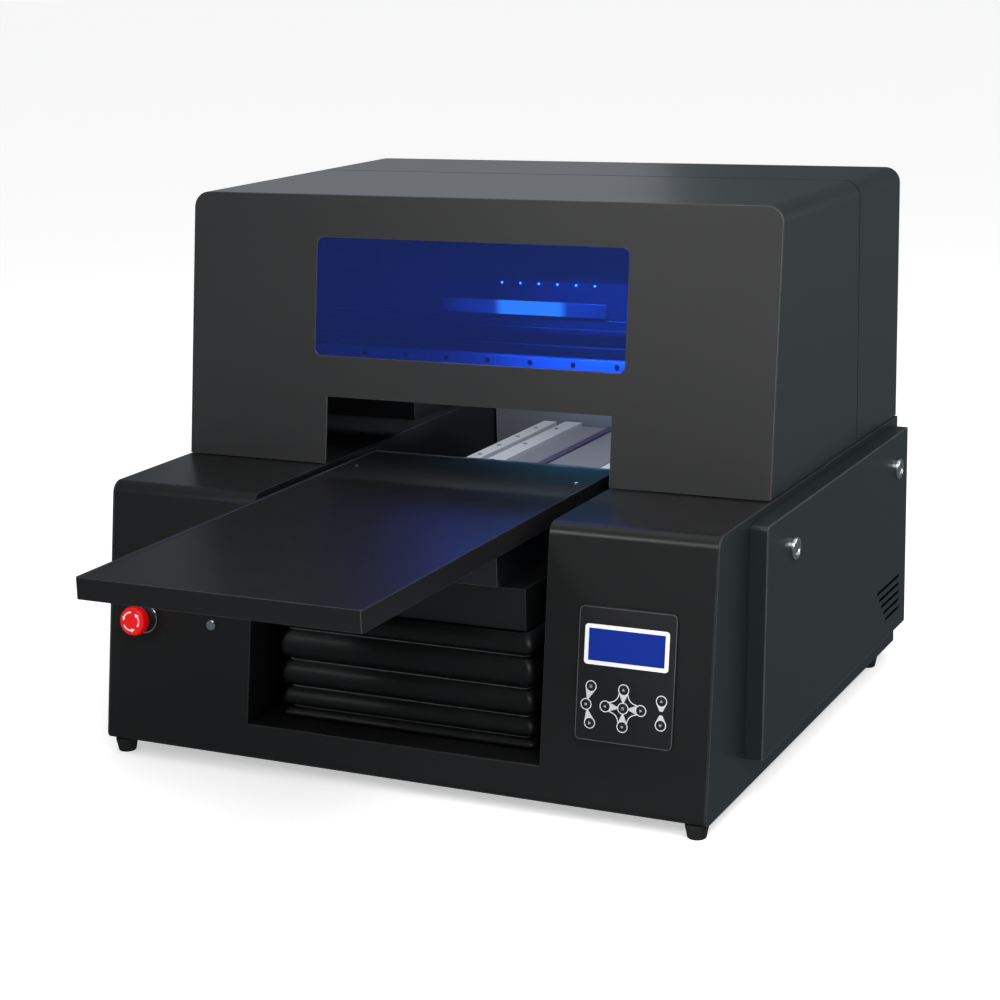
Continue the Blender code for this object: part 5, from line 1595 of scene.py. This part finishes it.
@dataclass
class Lift:
    """The lifting platform, its screws and the pleated skirt round them."""

    low_z: float = 0.0608
    top_z: float = 0.1997
    width: float = 0.338
    depth: float = 0.310
    middle_y: float = 0.0
    valleys: tuple[float, ...] = (0.0608, 0.0740, 0.0995, 0.1330, 0.1720, 0.1995)
    tuck: float = 0.011
    bulge_steps: int = 6
    stay: float = 0.0008
    cloth: float = 0.001
    keep: float = 0.42

    def outline(self, inset: float) -> list[Vector]:
        """The skirt's outline, drawn in by an inset."""
        return rectangle(self.width - 2 * inset, self.depth - 2 * inset, 0.008, (0, self.middle_y), 4)

    def build_bellows(self) -> None:
        """Pleat the skirt: soft bulges between tucks that thin stays hold in."""
        levels = [(self.valleys[0], self.tuck)]
        for low, high in zip(self.valleys, self.valleys[1:]):
            for step in range(1, self.bulge_steps + 1):
                share = step / self.bulge_steps
                swell = math.sin(math.pi * share ** 0.8) ** 0.55 if share < 1 else 0.0
                levels.append((low + (high - low) * share, self.tuck * (1 - swell)))
        bm = bmesh.new()
        rings = []
        for z, inset in levels:
            verts = [bm.verts.new((p.x, p.y, z)) for p in self.outline(inset)]
            rings.append([bm.edges.new((a, b)) for a, b in zip(verts, verts[1:] + verts[:1])])
        for lower, upper in zip(rings, rings[1:]):
            bmesh.ops.bridge_loops(bm, edges=lower + upper)
        face_out(bm, (0, self.middle_y, (self.low_z + self.top_z) / 2))
        skirt = add_piece("lift_bellows_fine", thickened(bm, self.cloth), Palette.BELLOWS, Body.BASE,
                          ["lift_bellows"], 55)
        stays = []
        for z in self.valleys[1:-1]:
            loops = [self.outline(self.tuck - 0.0022), self.outline(self.tuck + 0.0030)]
            hoop = plate(loops, self.stay, 0.0002)
            stays.append(moved(hoop, Matrix.Translation((0, 0, z - self.stay / 2))))
        hoops = add_piece("bellows_stays", joined(stays), Palette.STAY, Body.BASE)
        for piece in (skirt, hoops):
            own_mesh(piece)

    def build(self) -> None:
        """Build the lift."""
        refine("lift_platform", Palette.PLATFORM, Body.LIFT, 0.0008)
        repaint("lift_screw_left", Palette.STEEL)
        repaint("lift_screw_right", Palette.STEEL)
        self.build_bellows()


# Gantry and carriage ---------------------------------------------------------------------------

@dataclass
class Gantry:
    """The beam over the bed with its rail, belt drive, cable trough and lamps."""

    front_y: float = 0.170
    beam_top_z: float = 0.510
    rail_z: float = 0.455
    rail_front_y: float = 0.1552
    bolt_pitch: float = 0.0592
    bolts: int = 12
    trough_h: float = 0.046
    trough_w: float = 0.700
    trough_d: float = 0.040
    lamp_x: float = 0.050
    lamp_rise: float = 0.0428
    lamp_pitch: float = 0.0255
    strip_x: tuple[float, float] = (-0.099, 0.129)
    strip_rise: tuple[float, float] = (0.0030, 0.0205)
    lamps: int = 6

    def build_beam(self) -> None:
        """Finish the beam, the rail with its bolts, and the belt drive."""
        refine("gantry_frame", Palette.GANTRY, Body.BASE, 0.0010)
        refine("x_rail", Palette.RAIL, Body.BASE, 0.0003)
        refine("x_motor", Palette.BLACK, Body.BASE, 0.0008)
        repaint("x_belt", Palette.RUBBER)
        repaint("x_drive_pulley", Palette.ALUMINIUM)
        repaint("x_idler_pulley", Palette.ALUMINIUM)
        heads = []
        start = -self.bolt_pitch * (self.bolts - 1) / 2
        for bolt in range(self.bolts):
            x = start + bolt * self.bolt_pitch
            place = Matrix.Translation((x, self.rail_front_y, self.rail_z)) @ FACING_FRONT
            heads.append(moved(drum(0.0034, 0.0003, 16), place))
        add_piece("x_rail_bolts", joined(heads), Palette.BLACK, Body.BASE)

    def build_trough(self) -> None:
        """The cable trough on top of the beam, with a glowing strip that paints a reflection, and its row of
        lamps.
        """
        half = self.trough_w / 2
        low = (-half, self.front_y, self.beam_top_z + 0.0003)
        high = (half, self.front_y + self.trough_d, self.beam_top_z + self.trough_h)
        bm = block(low, high)
        lid = max(bm.faces, key=lambda face: face.calc_center_median().z)
        bmesh.ops.inset_region(bm, faces=[lid], thickness=0.002)
        bmesh.ops.translate(bm, vec=(0, 0, 0.003 - self.trough_h), verts=lid.verts)
        soften(bm, 0.0004)
        add_piece("cable_trough", bm, Palette.GANTRY, Body.BASE)
        # This glowing strip is no lamp: it paints the blue reflection that shows on the beam through the
        # window.
        strip = block((self.strip_x[0], self.front_y - 0.003, self.beam_top_z + self.strip_rise[0]),
                      (self.strip_x[1], self.front_y - 0.0003, self.beam_top_z + self.strip_rise[1]))
        soften(strip, 0.0008, 3)
        add_piece("painted_reflection_strip", strip, Palette.PAINTED_REFLECTION_STRIP, Body.BASE)
        dots = []
        for lamp in range(self.lamps):
            x = self.lamp_x + self.lamp_pitch * (lamp - (self.lamps - 1) / 2)
            place = Matrix.Translation((x, self.front_y, self.beam_top_z + self.lamp_rise)) @ FACING_FRONT
            profile = [(0, 0.0018), (0.0007, 0.0015), (0.0012, 0.0008), (0.0013, HAIR), (0, HAIR)]
            dots.append(moved(spun(profile, 16), place))
        add_piece("status_lamps", joined(dots), Palette.LAMP, Body.BASE)

    def build(self) -> None:
        """Build the gantry."""
        self.build_beam()
        self.build_trough()


@dataclass
class Carriage:
    """The print carriage with its head and lamp."""

    def build(self) -> None:
        """Finish the carriage, its head and its lamp, and add a cover plate with four screws."""
        refine("print_carriage", Palette.BLACK, Body.CARRIAGE, 0.0008)
        refine("print_head", Palette.STEEL, Body.CARRIAGE, 0.0004)
        refine("uv_lamp", Palette.ALUMINIUM, Body.CARRIAGE, 0.0004)
        low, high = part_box("print_carriage")
        cover = block((low.x + 0.010, low.y - 0.0022, low.z + 0.012),
                      (high.x - 0.010, low.y - 0.0003, high.z - 0.012))
        soften(cover, 0.0006, 3)
        add_piece("carriage_cover", cover, Palette.GANTRY, Body.CARRIAGE)
        heads = []
        for x in (low.x + 0.018, high.x - 0.018):
            for z in (low.z + 0.020, high.z - 0.020):
                place = Matrix.Translation((x, low.y - 0.0022, z)) @ FACING_FRONT
                heads.append(moved(cap_screw(0.0028, 0.0016, 0.0013), place))
        add_piece("carriage_screws", joined(heads), Palette.STEEL, Body.CARRIAGE)


@dataclass
class Rear:
    """The ink tanks, the fan and the mains inlet at the back."""

    def build(self) -> None:
        """Finish the tanks and rear fittings, and add the fan's guard and the inlet's pins."""
        refine("ink_tank_rack", Palette.BLACK, Body.BASE, 0.0008)
        refine("fan_frame", Palette.BLACK, Body.BASE, 0.0004)
        refine("fan_rotor", Palette.BLACK, Body.FAN, 0.0003)
        refine("power_inlet", Palette.BLACK, Body.BASE, 0.0004)
        refine("power_rocker", Palette.RED, Body.ROCKER, 0.0004)
        self.build_guard()
        self.build_pins()
        self.build_screws()

    def build_guard(self) -> None:
        """Bend the fan's wire guard: four rings on a cross of spokes."""
        low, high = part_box("fan_rotor")
        middle = (low + high) / 2
        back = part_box("base_rear_panel")[1].y
        wires = []
        for radius in (0.008, 0.0175, 0.027, 0.0365):
            bm = bmesh.new()
            start = Matrix.Translation((radius, 0, 0)) @ Matrix.Rotation(math.pi / 2, 4, "X")
            circle = bmesh.ops.create_circle(bm, radius=0.0007, segments=8, matrix=start)
            edges = list({edge for vert in circle["verts"] for edge in vert.link_edges})
            bmesh.ops.spin(bm, geom=circle["verts"] + edges, cent=(0, 0, 0), axis=(0, 0, 1),
                           angle=2 * math.pi, steps=40, use_merge=True)
            merge(bm)
            bmesh.ops.recalc_face_normals(bm, faces=bm.faces)
            wires.append(bm)
        for turn in range(4):
            spoke = moved(drum(0.0006, 0.084, 8), Matrix.Translation((0, -0.042, -0.0004))
                          @ Matrix.Rotation(-math.pi / 2, 4, "X"))
            wires.append(moved(spoke, Matrix.Rotation(turn * math.pi / 4, 4, "Z")))
        place = Matrix.Translation((middle.x, back + 0.0002, middle.z)) @ FACING_BACK
        add_piece("fan_guard", moved(joined(wires), place), Palette.CHROME, Body.BASE)

    def build_pins(self) -> None:
        """Set the inlet's three pins."""
        low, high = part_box("power_inlet")
        middle = (low + high) / 2
        pins = []
        for x, z in ((-0.007, -0.003), (0.007, -0.003), (0.0, 0.004)):
            at = Vector((middle.x + x, high.y - 0.019, middle.z - 0.014 + z))
            pin = block(at - Vector((0.001, 0, 0.002)), at + Vector((0.001, 0.013, 0.002)))
            soften(pin, 0.0003)
            pins.append(pin)
        add_piece("inlet_pins", joined(pins), Palette.BRASS, Body.BASE)

    def build_screws(self) -> None:
        """Screw the rear panel down along its two sides and its lower edge."""
        low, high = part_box("base_rear_panel")
        inset = 0.014
        places = [(x, z) for x in (low.x + inset, high.x - inset) for z in (0.075, 0.160, 0.245)]
        places += [(x, 0.055) for x in (-0.20, 0.0, 0.20)]
        heads = []
        for x, z in places:
            place = Matrix.Translation((x, high.y, z)) @ FACING_BACK
            heads.append(moved(cap_screw(0.0034, 0.0016, 0.0016), place))
        add_piece("rear_screws", joined(heads), Palette.STEEL, Body.BASE)


# Stage -----------------------------------------------------------------------------------------

@dataclass(frozen=True)
class Softbox:
    """A large soft lamp that shines at the machine."""

    name: str
    place: tuple[float, float, float]
    aim: tuple[float, float, float]
    size: tuple[float, float]
    power: float
    colour: Colour = (1.0, 1.0, 1.0)
    spread: float = math.pi

    def build(self) -> None:
        """Hang the lamp."""
        lamp = bpy.data.lights.new(self.name, "AREA")
        lamp.shape = "RECTANGLE"
        lamp.size, lamp.size_y = self.size
        lamp.energy = self.power
        lamp.color = self.colour
        lamp.spread = self.spread
        obj = placed(self.name, lamp)
        obj.location = self.place
        way = Vector(self.aim) - Vector(self.place)
        obj.rotation_euler = way.to_track_quat("-Z", "Y").to_euler()
        obj.visible_camera = False


@dataclass
class Studio:
    """The pale floor and surroundings, the soft lamps and the camera."""

    floor_half: float = 60.0
    backdrop: float = 1.05
    fill: float = 0.545
    sheen: Colour = (0.10, 0.12, 0.128)
    camera_place: tuple[float, float, float] = (1.19347545, -2.33795916, 0.94805676)
    yaw: float = 0.4521949
    pitch: float = -0.2389547
    roll: float = -0.0249913
    lens: float = 79.7979
    lamps: list[Softbox] = field(default_factory=lambda: [
        Softbox("key_lamp", (1.4, -1.5, 2.0), (0.25, -0.1, 0.45), (1.2, 1.2), 36.0),
        Softbox("front_lamp", (1.2, -3.2, 1.2), (0.2, 0, 0.4), (1.6, 1.2), 2.0),
        Softbox("shoulder_lamp", (-0.77, -2.20, 1.50), (0.26, -0.42, 0.28), (0.7, 0.34), 1.0, spread=0.70),
        Softbox("side_lamp", (1.9, 1.2, 0.9), (0.4, 0.3, 0.35), (1.0, 0.8), 9.0),
        Softbox("overhead_lamp", (0.0, 0.2, 3.2), (0, 0.2, 0.4), (3.0, 3.0), 26.0),
        Softbox("back_lamp", (-1.55, 2.8, 1.5), (0, 0.2, 0.5), (1.4, 1.0), 2.4, (0.90, 0.90, 1.0)),
        Softbox("inner_lamp", (0.05, 0.28, 0.655), (0.05, 0.24, 0.3), (0.5, 0.10), 2.2, (0.85, 0.9, 1.0)),
        Softbox("window_lamp", (0.13, 0.10, 0.650), (0.13, 0.17, 0.46), (0.2, 0.03), 1.5,
                (0.10, 0.55, 1.0), 1.3)])

    def build_floor(self) -> None:
        """Lay the floor."""
        bm = bmesh.new()
        bmesh.ops.create_grid(bm, x_segments=1, y_segments=1, size=self.floor_half)
        mesh = used_up("floor", bm)
        mat = bpy.data.materials.new("floor_white")
        mat.use_nodes = True
        shader = mat.node_tree.nodes["Principled BSDF"]
        shader.inputs["Base Color"].default_value = (*FLOOR_COLOUR, 1.0)
        shader.inputs["Roughness"].default_value = 0.7
        shader.inputs["Specular IOR Level"].default_value = 0.2
        shader.inputs["Emission Color"].default_value = (1.0, 1.0, 1.0, 1.0)
        shader.inputs["Emission Strength"].default_value = FLOOR_GLOW
        mesh.materials.append(mat)
        floor = placed("floor", mesh)
        floor.visible_glossy = False

    def build_world(self) -> None:
        """Surround the machine: white behind it, and a dimmer, even room for light and reflections."""
        world = bpy.data.worlds.new("studio")
        world.use_nodes = True
        tree = world.node_tree
        room = tree.nodes["Background"]
        paths = tree.nodes.new("ShaderNodeLightPath")
        seen = tree.nodes.new("ShaderNodeMix")
        seen.data_type = "RGBA"
        seen.inputs["A"].default_value = (self.fill, self.fill, self.fill, 1.0)
        seen.inputs["B"].default_value = (*self.sheen, 1.0)
        tree.links.new(paths.outputs["Is Glossy Ray"], seen.inputs["Factor"])
        behind = tree.nodes.new("ShaderNodeMix")
        behind.data_type = "RGBA"
        tree.links.new(paths.outputs["Is Camera Ray"], behind.inputs["Factor"])
        tree.links.new(seen.outputs["Result"], behind.inputs["A"])
        behind.inputs["B"].default_value = (self.backdrop, self.backdrop, self.backdrop, 1.0)
        tree.links.new(behind.outputs["Result"], room.inputs["Color"])
        bpy.context.scene.world = world
        bpy.context.scene.view_settings.view_transform = "Standard"

    def build_camera(self) -> None:
        """Set the camera up."""
        data = bpy.data.cameras.new("camera")
        data.sensor_width = 36.0
        data.lens = self.lens
        data.clip_end = 500.0
        camera = placed("camera", data)
        ahead = Vector((-math.sin(self.yaw) * math.cos(self.pitch),
                        math.cos(self.yaw) * math.cos(self.pitch), math.sin(self.pitch)))
        right = Vector((math.cos(self.yaw), math.sin(self.yaw), 0.0))
        up = right.cross(ahead)
        tilted = right * math.cos(self.roll) + up * math.sin(self.roll)
        above = up * math.cos(self.roll) - right * math.sin(self.roll)
        turn = Matrix((tilted, above, -ahead)).transposed().to_4x4()
        camera.matrix_world = Matrix.Translation(self.camera_place) @ turn
        bpy.context.scene.camera = camera

    def build(self) -> None:
        """Build the studio."""
        self.build_floor()
        self.build_world()
        for lamp in self.lamps:
            lamp.build()
        self.build_camera()


def main() -> None:
    """Build every part of the machine in order, then the studio."""
    logging.basicConfig(level=logging.INFO, format="%(name)s %(message)s")
    cabinet = Cabinet()
    parts = [cabinet, SideCover("left", -1), SideCover("right", 1), ControlPanel(cabinet),
             StopAndKey(cabinet), Hood(), Bed(), Lift(), Gantry(), Carriage(), Rear(), Studio()]
    for part in parts:
        part.build()
        LOG.info("%s done", type(part).__name__)


if __name__ == "__main__":
    main()
